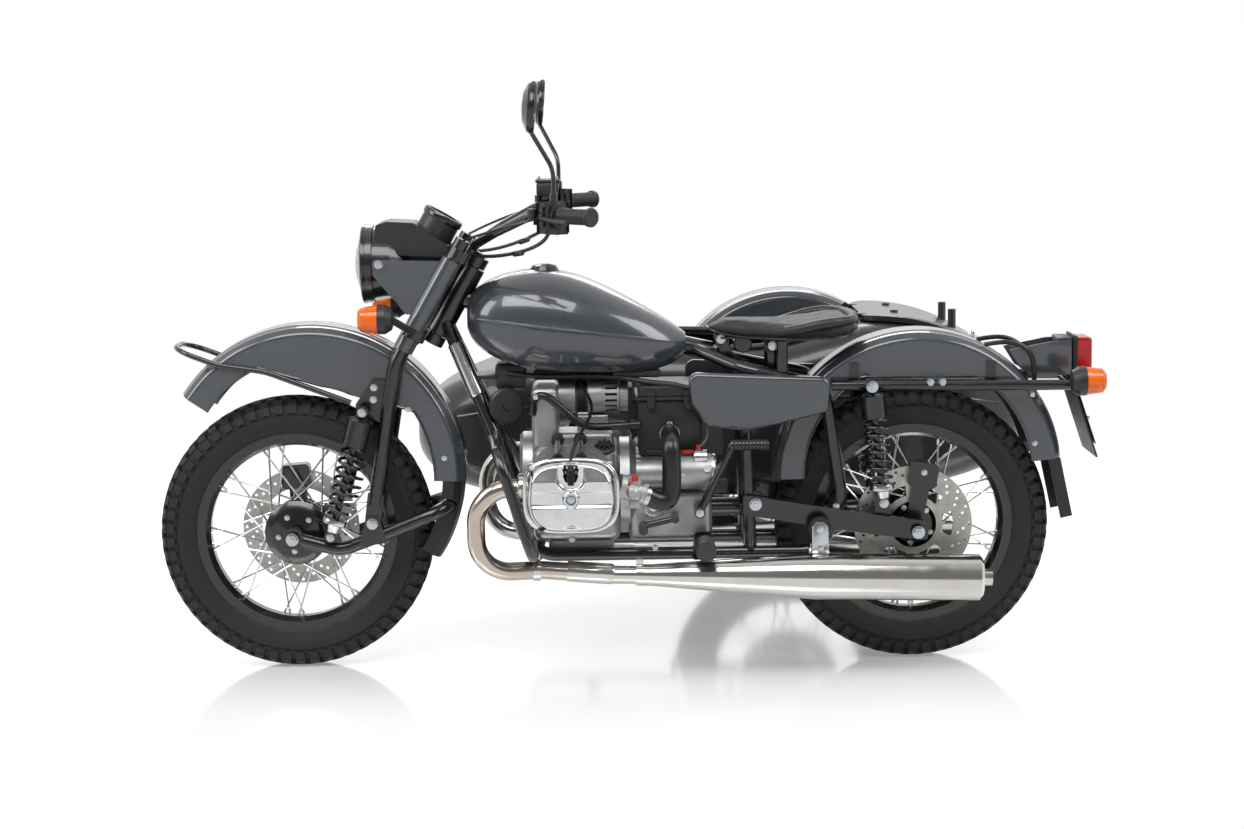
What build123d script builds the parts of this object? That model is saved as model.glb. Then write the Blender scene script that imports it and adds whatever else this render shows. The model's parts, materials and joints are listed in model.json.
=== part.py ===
from build123d import *

import os
from math import cos, radians, sin

# Sidecar motorcycle: a flat-twin solo machine with a leading-link fork and a sidecar on its right.
# Millimetres. The model is drawn from the centre of the rear axle: x forward, y to the left, z up.
# It is set down on its tyres, with the middle of its outline at the origin, when it is written.

# Driving sizes of the running gear
WHEELBASE = 1550.0
TYRE_RADIUS = 345.0
TYRE_WIDTH = 112.0
LUG_COUNT = 52
LUG_DEPTH = 8.0
LUG_SHARE = 0.72
RIM_RADIUS = 252.0
RIM_WIDTH = 70.0
RIM_WELL_RADIUS = 220.0
SPOKE_COUNT = 36
SPOKE_RADIUS = 2.2
AXLE_RADIUS = 10.0
DISC_RADIUS = 148.0
DISC_THICKNESS = 5.0
DISC_HOLES = 24
DISC_HOLE_RADIUS = 4.0
HUB_HALF_WIDTH = 52.0
FLANGE_RADIUS = 72.0
HUB_COVER_RADIUS = 81.0
SIDECAR_TRACK = 1160.0
SIDECAR_LEAD = 230.0

# Clearances
SEAT_GAP = 0.3
RUNNING_GAP = 0.08
MOVING_GAP = 6.0

# Steering head and fork
RAKE = 30.0
HEAD_SETBACK = 410.0
HEAD_RISE = 580.0
HEAD_LENGTH = 190.0
HEAD_RADIUS = 32.0
STEM_RADIUS = 16.0
YOKE_THICKNESS = 26.0
YOKE_DEPTH = 52.0
FORK_OFFSET = 52.0
FORK_HALF_WIDTH = 107.0
FORK_LEG_RADIUS = 19.0
FORK_LEG_TOP = 150.0
FORK_BEND_DROP = 200.0
LINK_PIVOT_BACK = 199.0
LINK_PIVOT_RISE = 36.0
LINK_RADIUS = 17.0
LUG_RADIUS = 20.0
LUG_THICKNESS = 24.0
PIN_RADIUS = 8.0
# columns: x from the front axle, z
DAMPER_TOP = (-183.0, 317.0)
DAMPER_FOOT = (-96.0, 6.0)
DAMPER_HALF_WIDTH = 126.0
EYE_RADIUS = 15.0
EYE_HALF = 11.0
COLLAR_RADIUS = 17.0

# Mudguards
GUARD_WIDTH = 152.0
GUARD_SHEET = 2.5
GUARD_CROWN = 26.0
CROWN_DROP = 1.5
GUARD_DEEP_SKIRT = 120.0
GUARD_SKIRT = 48.0
FRONT_GUARD_GAP = 39.0
FRONT_GUARD_BACK = 46.0
FRONT_GUARD_RISE = 143.0
REAR_GUARD_GAP = 18.0
REAR_GUARD_BACK = 11.0
REAR_GUARD_RISE = 128.0

# Frame tubes
TUBE_RADIUS = 16.0
BACKBONE_RADIUS = 24.0
RAIL_RADIUS = 13.0
CRADLE_HALF_WIDTH = 110.0
CRADLE_FLOOR = -53.0
RAIL_HEIGHT = 362.0
RAIL_END = -398.0
PIVOT_X = 401.0
PIVOT_Z = 73.0
ARM_IN = 128.0
ARM_OUT = 148.0
PIVOT_RADIUS = 14.0
SHOCK_HALF_WIDTH = 138.0
# columns: x, z
SHOCK_TOP = (113.0, 363.0)
SHOCK_FOOT = (84.0, 72.0)
BACKBONE_END = (500.0, 0.0, 440.0)
LOOP_TOP_X = 226.0
POST_X = 412.0
SEAT_POST = (430.0, 398.0)
SEAT_BAR = (476.0, 424.0)
SEAT_BAR_RADIUS = 10.0
TAIL_TUBE_HALF = 128.0
TAIL_TUBE_RADIUS = 10.0
SHAFT_Y = -76.0
SHAFT_Z = 30.0

# Engine
CRANK_X = 853.0
CRANK_Z = 137.0
CYLINDER_STAGGER = 40.0
CASE_HALF_WIDTH = 125.0
BARREL_LENGTH = 130.0
HEAD_WIDTH = 78.0
COVER_DEPTH = 50.0
PLUG_SLOT_Z = 50.0
FIN_THICKNESS = 4.0
FIN_PITCH = 11.0
PIPE_RADIUS = 22.0
MUFFLER_RADIUS = 57.0
MUFFLER_Y = 224.0
MUFFLER_START = 665.0
MUFFLER_Z = -84.0
MUFFLER_DROP = -2.4
PIPE_LOW_Z = -62.0
PORT_Y = 300.0
PORT_DZ = 13.0
PORT_REACH = 112.0
CASE_REAR = 735.0
CASE_FRONT = 952.0
TIMING_REAR = 886.0
TIMING_TOP = 364.0
GEARBOX_REAR = 506.0
DECK_Z = 246.0
SUMP_Z = -71.0
ALTERNATOR_RADIUS = 46.0
ALTERNATOR_Z = 332.0
ALTERNATOR_REAR = 702.0
AIRBOX_LOW = 192.0
AIR_PORT_Z = 250.0
AIR_PORT_Y = 118.0

# Tank, tail and lamps
CAP_X = 916.0
CAP_Z = 641.0
CAP_RADIUS = 36.0
SEAM_RADIUS = 4.5
BOARD_HALF = 90.0
PLATE_HOLE_SPACING = 146.0
PLATE_HOLE_RADIUS = 3.5
SIDE_TAIL_LAMP = (-122.0, -SIDECAR_TRACK, 306.0)
SIDE_FRONT_LAMP = (586.0, -SIDECAR_TRACK, 306.0)

# Sidecar body
TUB_Y = -712.0
TUB_WALL = 12.0
LID_THICKNESS = 14.0
LID_GAP = 5.0
CARRIER_ROWS = 160.0
CARRIER_COLUMNS = 200.0
CARRIER_HOLE_RADIUS = 4.25
CARRIER_POST_RADIUS = 11.0
CARRIER_X = -110.0
CARRIER_TOP = 474.0
CARRIER_REAR_FOOT = 418.5
CARRIER_FRONT_FOOT = 461.5
SIDE_FRAME_Z = -52.0
SIDE_ARM_Y = -1062.0
SIDE_PIVOT_X = 560.0
# columns: x, y, z
SIDE_SHOCK_TOP = (330.0, -1062.0, 338.0)
SIDE_SHOCK_FOOT = (296.0, -1062.0, 44.0)

# Axles and the steering head in space
FRONT_AXLE = Vector(WHEELBASE, 0, 0)
SIDE_AXLE = Vector(SIDECAR_LEAD, -SIDECAR_TRACK, 0)
HEAD = Vector(WHEELBASE - HEAD_SETBACK, 0, HEAD_RISE)
STEER = Plane(
    origin=HEAD,
    x_dir=(cos(radians(RAKE)), 0, sin(radians(RAKE))),
    z_dir=(-sin(radians(RAKE)), 0, cos(radians(RAKE))),
)


# Plain building blocks
def group(*shapes):
    """Separate solids that share one node."""
    return Compound([solid for shape in shapes for solid in shape.solids()])


def mirrored(shape):
    return mirror(shape, about=Plane.XZ)


def both(shape):
    """A left piece and its right twin."""
    return group(shape, mirrored(shape))


def rod(start, end, radius):
    start, end = Vector(*start), Vector(*end)
    span = end - start
    return Plane(origin=start, z_dir=span) * Cylinder(
        radius, span.length, align=(Align.CENTER, Align.CENTER, Align.MIN)
    )


def tube(points, radius, bends):
    """A round tube along straight runs joined by arcs, one bend radius for each corner."""
    path = FilletPolyline(*points, radius=bends)
    return sweep(Plane(origin=path @ 0, z_dir=path % 0) * Circle(radius), path=path)


def ring(profile, arc=360):
    """A polygon of (y, radius) corners turned about the y axis."""
    face = Face(Wire.make_polygon([(0, y, r) for y, r in profile]))
    return revolve(face, Axis.Y, arc)


def turned(profile, start, end):
    """A polygon of (distance, radius) corners turned about the line from start towards end."""
    start, end = Vector(*start), Vector(*end)
    axis = Plane(origin=start, z_dir=end - start)
    face = Face(Wire.make_polygon([(r, 0, d) for d, r in profile]))
    return axis * revolve(face, Axis.Z, 360)


def plate(corners, y_low, y_high, round_by=0.0, taper=0.0):
    """A flat piece with (x, z) corners, between two y values, its corners rounded and its sides drawn in."""
    outline = Polyline(*[(x, -z) for x, z in corners], close=True)
    face = make_face(outline)
    if round_by:
        face = fillet(face.vertices(), round_by)
    flat = Plane(origin=(0, y_low, 0), x_dir=(1, 0, 0), z_dir=(0, 1, 0))
    return extrude(flat * face, y_high - y_low, taper=taper)


def block(low, high, edge=0.0):
    low, high = Vector(*low), Vector(*high)
    size = high - low
    body = Pos((low + high) * 0.5) * Box(size.X, size.Y, size.Z)
    return fillet(body.edges(), edge) if edge else body


def front(x, y, z):
    """A point given from the front axle."""
    return (WHEELBASE + x, y, z)


def steer(x, y, z):
    """A point given along the steering axes: ahead of the stem, to the left, up the stem."""
    return tuple(STEER.from_local_coords(Vector(x, y, z)))


# Wheels, drawn at the origin with the brake disc on the left
BEAD_HALF = RIM_WIDTH / 2 - 4.0
RIM_WALL = 6.0


def make_rim():
    half, base = RIM_WIDTH / 2, RIM_WELL_RADIUS
    well = 14.0
    step = 10.0
    return ring(
        [
            (-half, RIM_RADIUS), (-BEAD_HALF, RIM_RADIUS), (-BEAD_HALF, base + step + RIM_WALL),
            (-well, base + RIM_WALL), (well, base + RIM_WALL), (BEAD_HALF, base + step + RIM_WALL),
            (BEAD_HALF, RIM_RADIUS), (half, RIM_RADIUS), (half, base + step),
            (well, base), (-well, base), (-half, base + step), (-half, RIM_RADIUS),
        ]
    )


def across_wheel(y):
    """A plane square to the axle, at a distance from the wheel's middle."""
    return Plane(origin=(0, y, 0), x_dir=(1, 0, 0), z_dir=(0, 1, 0))


def tread_outline():
    """Outline of the tread: flat-topped blocks on the rolling circle, with a groove after each."""
    pitch = 360.0 / LUG_COUNT
    half = pitch * LUG_SHARE / 2
    top = TYRE_RADIUS / cos(radians(half))
    corners = []
    for index in range(LUG_COUNT):
        for offset, reach in ((-half, top), (half, top), (half, top - LUG_DEPTH),
                              (pitch - half, top - LUG_DEPTH)):
            angle = radians(index * pitch + offset)
            corners.append((reach * cos(angle), reach * sin(angle)))
    return Polygon(*corners, align=None)


def make_tyre():
    """Block-tread tyre: a ring of blocks on a many-sided carcass that narrows to the beads."""
    half = TYRE_WIDTH / 2
    bead = BEAD_HALF - SEAT_GAP
    seat = RIM_WELL_RADIUS + 10.0 + RIM_WALL + SEAT_GAP
    lip = RIM_RADIUS + 2.0
    side = (lip + TYRE_RADIUS) / 2
    crown = TYRE_RADIUS - LUG_DEPTH - 2.0
    right = [(half - 26, crown), (half - 3, TYRE_RADIUS - 18.0), (half, side)]
    stations = [(-y, r) for y, r in reversed(right)] + right
    carcass = loft([across_wheel(y) * RegularPolygon(r, LUG_COUNT) for y, r in stations], ruled=True)
    tread_half = half - 15.0
    tread = extrude(across_wheel(-tread_half) * tread_outline(), 2 * tread_half)
    opening = RegularPolygon(seat, LUG_COUNT, major_radius=False)
    body = carcass + tread - extrude(across_wheel(-half) * opening, 2 * half)
    rim_edge = RegularPolygon(lip, LUG_COUNT, major_radius=False)
    for sign in (1, -1):
        shoulder = RegularPolygon(side, LUG_COUNT)
        body -= loft([across_wheel(sign * bead) * rim_edge, across_wheel(sign * half) * shoulder], ruled=True)
    return body


def make_hub():
    """Hub barrel with two spoke flanges, a plain cover on the right, the disc on the left, and the spokes."""
    bore = AXLE_RADIUS + RUNNING_GAP
    end, flange, web = HUB_HALF_WIDTH, 38.0, 6.0
    barrel, boss = 42.0, 34.0
    outer = [
        (-end, bore), (-end, boss), (-end, HUB_COVER_RADIUS - 12), (-end + 8, HUB_COVER_RADIUS),
        (-flange + 2, HUB_COVER_RADIUS), (-flange + 2, FLANGE_RADIUS), (-flange + web, FLANGE_RADIUS),
        (-flange + web, barrel), (flange - web, barrel), (flange - web, FLANGE_RADIUS),
        (flange, FLANGE_RADIUS), (flange, boss), (end, boss),
        (end, DISC_RADIUS), (end + DISC_THICKNESS, DISC_RADIUS), (end + DISC_THICKNESS, bore), (-end, bore),
    ]
    hub = ring(outer)
    window = Pos(0, end + DISC_THICKNESS / 2, 88) * Box(58, DISC_THICKNESS * 3, 34)
    for turn in range(0, 360, 60):
        hub -= Rot(0, turn, 0) * window
    for index in range(DISC_HOLES):
        reach = DISC_RADIUS - (12 if index % 2 else 26)
        hole = Pos(0, end, reach) * Rot(90, 0, 0) * Cylinder(DISC_HOLE_RADIUS, DISC_THICKNESS * 4)
        hub -= Rot(0, index * 360.0 / DISC_HOLES, 0) * hole
    spokes = []
    for index in range(SPOKE_COUNT):
        side = 1 if index % 2 else -1
        lean = 52.0 if (index // 2) % 2 else -52.0
        angle = index * 360.0 / SPOKE_COUNT
        root_angle, tip_angle = radians(angle), radians(angle + lean)
        root_r, tip_r = FLANGE_RADIUS - 6.0, RIM_WELL_RADIUS + 4.0
        root = (root_r * sin(root_angle), side * (flange - web / 2), root_r * cos(root_angle))
        tip = (tip_r * sin(tip_angle), side * 6.0, tip_r * cos(tip_angle))
        spokes.append(rod(root, tip, SPOKE_RADIUS))
    reach = Rot(90, 0, 0) * Cylinder(RIM_WELL_RADIUS - SEAT_GAP, RIM_WIDTH * 2)
    laced = Part() + spokes
    return hub + (laced & reach)


def make_wheels():
    """Three like wheels: the front one is turned round, so that its disc is on the right."""
    tyre, rim, hub = make_tyre(), make_rim(), make_hub()
    places = {
        "front": Pos(FRONT_AXLE) * Rot(0, 0, 180),
        "rear": Pos(0, 0, 0),
        "sidecar": Pos(SIDE_AXLE),
    }
    nodes = {}
    for name, place in places.items():
        nodes[f"{name}_tyre"] = place * tyre
        nodes[f"{name}_rim"] = place * rim
        nodes[f"{name}_hub"] = place * hub
    return nodes


# Mudguards, swept round their own centre
def guard_profile(radius, skirt, width):
    """Half of a rolled mudguard section as (y, radius) corners: crown, shoulder and skirt."""
    half = width / 2
    return [(half, radius - GUARD_CROWN - skirt), (half, radius - GUARD_CROWN),
            (half * 0.72, radius - GUARD_CROWN * 0.32), (half * 0.36, radius - CROWN_DROP)]


def guard_sweep(radius, skirt, start, end, width=GUARD_WIDTH):
    """The rolled section turned from one angle to another, both from straight up towards the front."""
    outer = guard_profile(radius, skirt, width)
    inner = []
    for y, r in outer:
        inner.append((y - GUARD_SHEET if y > width * 0.45 else y - GUARD_SHEET * 0.4,
                      r - GUARD_SHEET * 0.9))
    inner[0] = (outer[0][0] - GUARD_SHEET, outer[0][1])
    loop = outer + [(-y, r) for y, r in reversed(outer)] + [(-y, r) for y,
                                                            r in inner] + list(reversed(inner))
    face = Face(Wire.make_polygon([(0, y, r) for y, r in loop + [loop[0]]]))
    return Rot(0, start, 0) * revolve(face, Axis.Y, end - start)


FRONT_GUARD_RADIUS = TYRE_RADIUS + FRONT_GUARD_GAP
REAR_GUARD_RADIUS = TYRE_RADIUS + REAR_GUARD_GAP


def guard(radius, start, end, edge_rise, slope):
    """A mudguard whose sides are deep above a straight edge and narrow beyond it, about its own centre."""
    whole = guard_sweep(radius, GUARD_DEEP_SKIRT, start, end)
    inside = Rot(90, 0, 0) * Cylinder(radius - GUARD_CROWN - GUARD_SKIRT, GUARD_WIDTH * 2)
    below = Rot(0, -slope, 0) * Pos(0, 0, edge_rise - radius) * Box(radius * 4, GUARD_WIDTH * 3, radius * 2)
    return whole - (inside & below)


def make_front_fender():
    """Front mudguard with deep sides above the guard bar, reaching down behind the wheel."""
    return Pos(front(-FRONT_GUARD_BACK, 0, FRONT_GUARD_RISE)) * guard(FRONT_GUARD_RADIUS, -92, 56, 235.0,
                                                                      16.5)


def make_front_flap():
    """Rubber flap that carries the front mudguard down behind the wheel, notched round the link."""
    step = GUARD_SHEET + 0.5
    flap = guard_sweep(FRONT_GUARD_RADIUS - step, GUARD_SKIRT * 0.6, -124, -85, GUARD_WIDTH - 2 * step)
    return Pos(front(-FRONT_GUARD_BACK, 0, FRONT_GUARD_RISE)) * flap - link_tube(LINK_RADIUS + 3.0)


def make_rear_fender(place, tail_angle):
    """Rear or sidecar mudguard, its deep sides ending above the rails."""
    edge = RAIL_HEIGHT + RAIL_RADIUS + 4.0 - REAR_GUARD_RISE
    return place * guard(REAR_GUARD_RADIUS, tail_angle, 91, edge, 0)


REAR_GUARD_PLACE = Pos(-REAR_GUARD_BACK, 0, REAR_GUARD_RISE)
SIDE_GUARD_PLACE = Pos(SIDE_AXLE) * Pos(0, 0, REAR_GUARD_RISE)
REAR_TAIL_ANGLE = -84.0


def make_fenders():
    return group(make_rear_fender(REAR_GUARD_PLACE, REAR_TAIL_ANGLE),
                 make_rear_fender(SIDE_GUARD_PLACE, -88))


def make_mud_flap():
    """Rubber flap that hangs from the end of the rear mudguard, cut to meet its end face."""
    angle = radians(REAR_TAIL_ANGLE)
    radius = REAR_GUARD_RADIUS - 14.0
    x, z = -REAR_GUARD_BACK + radius * sin(angle), REAR_GUARD_RISE + radius * cos(angle) + 30
    thick, length = 4.0, 180.0
    half = GUARD_WIDTH / 2 - GUARD_SHEET - 1.0
    sheet = Pos(0, 0, -length / 2) * Box(thick, half * 2, length)
    wings = [Pos(14, s * (half - thick / 2), -length / 2) * Box(28, thick, length) for s in (1, -1)]
    flap = Pos(x, 0, z) * Rot(0, 12, 0) * (sheet + wings)
    above = REAR_GUARD_PLACE * Rot(0, REAR_TAIL_ANGLE, 0) * Pos(200 - SEAT_GAP, 0, 300) * Box(400, 400, 800)
    return flap - above


# Fork, leading link and what steers
def make_fork():
    """Stem, two yokes, two bent legs with link lugs and damper plates."""
    gap = 3.0
    reach = HEAD_LENGTH / 2 + gap + YOKE_THICKNESS
    body = rod(steer(0, 0, -reach), steer(0, 0, reach + 9), STEM_RADIUS)
    for height in (reach - YOKE_THICKNESS / 2, -reach + YOKE_THICKNESS / 2):
        bridge = Box(YOKE_DEPTH, FORK_HALF_WIDTH * 2 + 44, YOKE_THICKNESS)
        bridge = fillet(bridge.edges().filter_by(Axis.Z), 22)
        bridge = Pos(FORK_OFFSET - 10, 0, 0) * bridge + Cylinder(HEAD_RADIUS - 3, YOKE_THICKNESS)
        body += STEER * (Pos(0, 0, height) * bridge)
    inner = GUARD_WIDTH / 2 + SEAT_GAP
    lug_half = LUG_THICKNESS / 2
    for side in (1, -1):
        y = side * FORK_HALF_WIDTH
        bend = Vector(*steer(FORK_OFFSET, y, -FORK_BEND_DROP))
        pivot = Vector(*front(-LINK_PIVOT_BACK, y, LINK_PIVOT_RISE))
        foot = pivot + (bend - pivot).normalized() * 44
        body += tube([steer(FORK_OFFSET, y, FORK_LEG_TOP), tuple(bend), tuple(foot)], FORK_LEG_RADIUS,
                     [150.0])
        body += rod(pivot - Vector(0, lug_half, 0), pivot + Vector(0, lug_half, 0), LUG_RADIUS)
        lug = [(-LUG_RADIUS - 10, 70), (LUG_RADIUS - 10, 74), (LUG_RADIUS, 0), (-LUG_RADIUS, 0)]
        body += plate([(pivot.X + x, pivot.Z + z) for x, z in lug], y - lug_half, y + lug_half)
        body -= rod(pivot - Vector(0, 60, 0), pivot + Vector(0, 60, 0), PIN_RADIUS + SEAT_GAP)
        low, high = sorted((side * inner, side * (inner + 14)))
        cheek = [(-262, 392), (-205, 392), (-162, 330), (-170, 296), (-240, 285)]
        body += plate([(WHEELBASE + x, z) for x, z in cheek], low, high, 8)
        x, z = DAMPER_TOP
        body += rod(front(x, side * inner, z), front(x, side * (DAMPER_HALF_WIDTH + 18), z), PIN_RADIUS)
    return body


# columns: x from the front axle, z
LINK_POINTS = [(-20, -6), (-118, -33), (-242, 12), (-388, 70)]


def link_tube(radius):
    """The link's one bent tube, from axle end to axle end round the back of the tyre."""
    left = [front(x, FORK_HALF_WIDTH, z) for x, z in LINK_POINTS]
    right = [front(x, -FORK_HALF_WIDTH, z) for x, z in reversed(LINK_POINTS)]
    return tube(left + right, radius, [90.0, 140.0, 70.0, 70.0, 140.0, 90.0])


def make_link():
    """Leading link: its looped tube with the axle, the fork's pivots, the damper lugs and pins."""
    y = FORK_HALF_WIDTH
    body = link_tube(LINK_RADIUS)
    cheek_in = LUG_THICKNESS / 2 + SEAT_GAP
    for side in (1, -1):
        body += rod(front(0, side * (y - 15), 0), front(0, side * (y + 15), 0), 26)
        collar = HUB_HALF_WIDTH + DISC_THICKNESS + MOVING_GAP
        body += rod(front(0, side * collar, 0), front(0, side * y, 0), COLLAR_RADIUS)
        x, z = DAMPER_FOOT
        lug = [(-24, -20), (24, -20), (14, 14), (-14, 14)]
        low, high = sorted((side * (y - 13), side * (DAMPER_HALF_WIDTH - EYE_HALF - 1)))
        body += plate([(WHEELBASE + x + dx, z + dz) for dx, dz in lug], low, high)
        body += rod(front(x, side * (y - 13), z), front(x, side * (DAMPER_HALF_WIDTH + 18), z), PIN_RADIUS)
        cheek = [(-34, -50), (34, -58), (16, 18), (-16, 18)]
        corners = [(WHEELBASE - LINK_PIVOT_BACK + dx, LINK_PIVOT_RISE + dz) for dx, dz in cheek]
        for low, high in ((y + cheek_in, y + cheek_in + 5), (y - cheek_in - 5, y - cheek_in)):
            low, high = sorted((side * low, side * high))
            body += plate(corners, low, high)
        pin_x, pin_z = -LINK_PIVOT_BACK, LINK_PIVOT_RISE
        body += rod(front(pin_x, side * (y - 22), pin_z), front(pin_x, side * (y + 22), pin_z), PIN_RADIUS)
    body += rod(front(0, -y - 26, 0), front(0, y + 26, 0), AXLE_RADIUS)
    return body


def make_damper(start, end, eye_radius, coil_radius, pin_radius):
    """Coil-over damper: two eyes, a dust cover at the top and the turns of the spring, as one turned body."""
    start, end = Vector(*start), Vector(*end)
    length = (end - start).length
    cover = length * 0.26
    foot = length - eye_radius - 26
    profile = [(eye_radius - 3, 0), (eye_radius - 3, 12), (eye_radius + 10, coil_radius),
               (cover, coil_radius)]
    turns = 9
    pitch = (foot - 14 - cover) / turns
    for turn in range(turns):
        base = cover + turn * pitch
        profile += [(base + pitch * 0.05, coil_radius * 0.62), (base + pitch * 0.25, coil_radius * 0.88),
                    (base + pitch * 0.6, coil_radius * 0.88), (base + pitch * 0.8, coil_radius * 0.62)]
    profile += [(foot - 14, coil_radius * 0.62), (foot - 12, coil_radius * 0.92),
                (foot, coil_radius * 0.92),
                (foot + 6, 12), (length - eye_radius + 3, 12), (length - eye_radius + 3,
                                                                0), (eye_radius - 3, 0)]
    body = turned(profile, start, end)
    for eye in (start, end):
        across = Vector(0, EYE_HALF, 0)
        body += rod(eye - across, eye + across, eye_radius)
    for eye in (start, end):
        across = Vector(0, 30, 0)
        body -= rod(eye - across, eye + across, pin_radius)
    return body


def make_front_shocks():
    y = DAMPER_HALF_WIDTH
    return both(make_damper(front(DAMPER_TOP[0], y, DAMPER_TOP[1]),
                            front(DAMPER_FOOT[0], y, DAMPER_FOOT[1]),
                            EYE_RADIUS, 31.0, PIN_RADIUS + SEAT_GAP))


LAMP_X = -185.0
LAMP_Z = 672.0
LAMP_RADIUS = 97.0
LAMP_DEPTH = 118.0
EAR_THICKNESS = 3.0


def make_fork_shrouds():
    """Painted sleeve over each upper fork leg with the ear that holds the lamp."""
    y = FORK_HALF_WIDTH
    top, low = HEAD_LENGTH / 2 - 2.0, -160.0
    bore = FORK_LEG_RADIUS + SEAT_GAP
    sleeve = rod(steer(FORK_OFFSET, y, low), steer(FORK_OFFSET, y, top), bore + 6)
    ear = [(-214, 690), (-392, 684), (-300, 548), (-216, 652)]
    corners = [(WHEELBASE + x, z) for x, z in ear]
    sleeve += plate(corners, y - EAR_THICKNESS, y + EAR_THICKNESS, 9)
    sleeve -= rod(steer(FORK_OFFSET, y, low - 50), steer(FORK_OFFSET, y, top + 50), bore)
    low_yoke = -HEAD_LENGTH / 2 - 3.0 - YOKE_THICKNESS / 2
    room = Box(YOKE_DEPTH + 12, FORK_HALF_WIDTH * 2 + 64, YOKE_THICKNESS + 2 * SEAT_GAP)
    sleeve -= STEER * (Pos(FORK_OFFSET - 10, 0, low_yoke) * room)
    return both(sleeve)


# columns: distance behind the bezel's face, how much smaller than the bezel
LAMP_CURVE = [(0, 0), (26, 0), (28, 5), (70, 12), (100, 34), (LAMP_DEPTH, 66)]


def make_headlamp_shell():
    """Round lamp bucket with its bezel, turned about the lamp's own axis."""
    r, depth = LAMP_RADIUS, LAMP_DEPTH
    profile = [(0, r - 10)] + [(d, r - less) for d, less in LAMP_CURVE] + [
        (depth, 0), (depth - 3, 0), (depth - 3, r - 68), (98, r - 38), (68, r - 16), (12, r - 10), (0,
                                                                                                    r - 10)]
    shell = turned(profile, front(LAMP_X, 0, LAMP_Z), front(LAMP_X - 1, 0, LAMP_Z))
    bolts = rod(front(LAMP_X - 45, r - 12, LAMP_Z + 2),
                front(LAMP_X - 45, FORK_HALF_WIDTH - EAR_THICKNESS - SEAT_GAP, LAMP_Z + 2), 7)
    return shell + bolts + mirrored(bolts)


def make_headlamp_lens():
    """Domed glass that sits inside the bezel."""
    r = LAMP_RADIUS - 10 - SEAT_GAP
    dome, thick = 26.0, 4.0
    # columns: share of the dome's height, share of its radius
    curve = [(0.0, 1.0), (0.28, 0.86), (0.55, 0.68), (0.8, 0.45), (0.95, 0.22), (1.0, 0.0)]
    outside = [(share * dome, part * r) for share, part in curve]
    inside = [(share * (dome - thick), part * (r - thick)) for share, part in reversed(curve)]
    start = front(LAMP_X - 4, 0, LAMP_Z)
    return turned(outside + inside + outside[:1], start, front(LAMP_X, 0, LAMP_Z))


POD_RADIUS = 48.0
POD_HEIGHT = 60.0


def make_instrument_pod():
    """Cowl over the lamp with a round instrument case on its back."""
    cowl = [(-214, 700), (-222, 772), (-250, 780), (-315, 776), (-402, 716), (-396, 690)]
    half = 66.0
    body = plate([(WHEELBASE + x, z) for x, z in cowl], -half, half, 8)
    room = [(0, 0)] + [(d, LAMP_RADIUS - less + SEAT_GAP) for d, less in LAMP_CURVE] + [(LAMP_DEPTH, 0),
                                                                                        (0, 0)]
    body -= turned(room, front(LAMP_X, 0, LAMP_Z), front(LAMP_X - 1, 0, LAMP_Z))
    base = STEER.to_local_coords(Vector(*front(-352, 0, 728)))
    case = rod(steer(base.X, 0, base.Z), steer(base.X, 0, base.Z + POD_HEIGHT + 14), POD_RADIUS)
    lip = rod(steer(base.X, 0, base.Z + POD_HEIGHT), steer(base.X, 0, base.Z + POD_HEIGHT + 8),
              POD_RADIUS + 2)
    dial = rod(steer(base.X, 0, base.Z + POD_HEIGHT + 8), steer(base.X, 0, base.Z + POD_HEIGHT + 16),
               POD_RADIUS - 6)
    return body + case + lip - dial


SIGNAL_RADIUS = 36.0
SIGNAL_DEPTH = 48.0
FRONT_SIGNAL = (-234.0, 196.0, 552.0)
REAR_SIGNAL = (-408.0, 168.0, 371.0)


def signal_parts(place, ahead):
    """Housing and lens of a round signal whose lens looks along +x, or along -x where ahead is -1."""
    x, y, z = place
    r = SIGNAL_RADIUS
    back = (x - ahead, y, z)
    housing = turned([(0, 0), (0, r), (18, r), (34, r - 10), (38, 12), (38, 0), (0, 0)], place, back)
    lens = turned([(SEAT_GAP, 0), (SEAT_GAP, r - 1), (SIGNAL_DEPTH - 8, r - 6), (SIGNAL_DEPTH, r - 14),
                   (SIGNAL_DEPTH, 0), (SEAT_GAP, 0)],
                  place, (x + ahead, y, z))
    return housing, lens


def make_front_signals():
    x, y, z = FRONT_SIGNAL
    place = front(x, y, z)
    housing, lens = signal_parts(place, 1)
    leg = STEER.to_local_coords(Vector(*front(-300, 0, 520)))
    root = steer(FORK_OFFSET, FORK_HALF_WIDTH + FORK_LEG_RADIUS + 7 + SEAT_GAP, leg.Z)
    stalk = rod(root, front(x - 30, y, z), 9)
    return both(housing + stalk), both(lens)


BAR_RADIUS = 11.0
# columns: x from the front axle, y, z
BAR_POINTS = [(-456, 0, 716), (-462, 46, 716), (-520, 118, 752), (-608, 196, 796), (-652, 296, 803),
              (-752, 398, 803)]
GRIP_RADIUS = 17.0


def make_handlebar():
    """Bent bar in two risers that stand on the top yoke."""
    half = BAR_POINTS[1:]
    points = [front(x, -y, z) for x, y, z in reversed(half)] + [front(x, y, z) for x, y, z in half]
    bends = [80.0, 60.0, 60.0, 30.0]
    bar = tube(points, BAR_RADIUS, bends + list(reversed(bends)))
    yoke_top = HEAD_LENGTH / 2 + 3.0 + YOKE_THICKNESS
    for side in (1, -1):
        clamp = Vector(*front(-460, side * 30, 716))
        foot = STEER.to_local_coords(clamp)
        bar += rod(steer(foot.X, side * 30, yoke_top + SEAT_GAP), steer(foot.X, side * 30, foot.Z + 14), 15)
    return bar


def along_grip(share):
    """A point on the straight end of the left bar, from its inner bend at 0 to its tip at 1."""
    start, end = Vector(*front(*BAR_POINTS[-2])), Vector(*front(*BAR_POINTS[-1]))
    return start + (end - start) * share


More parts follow.
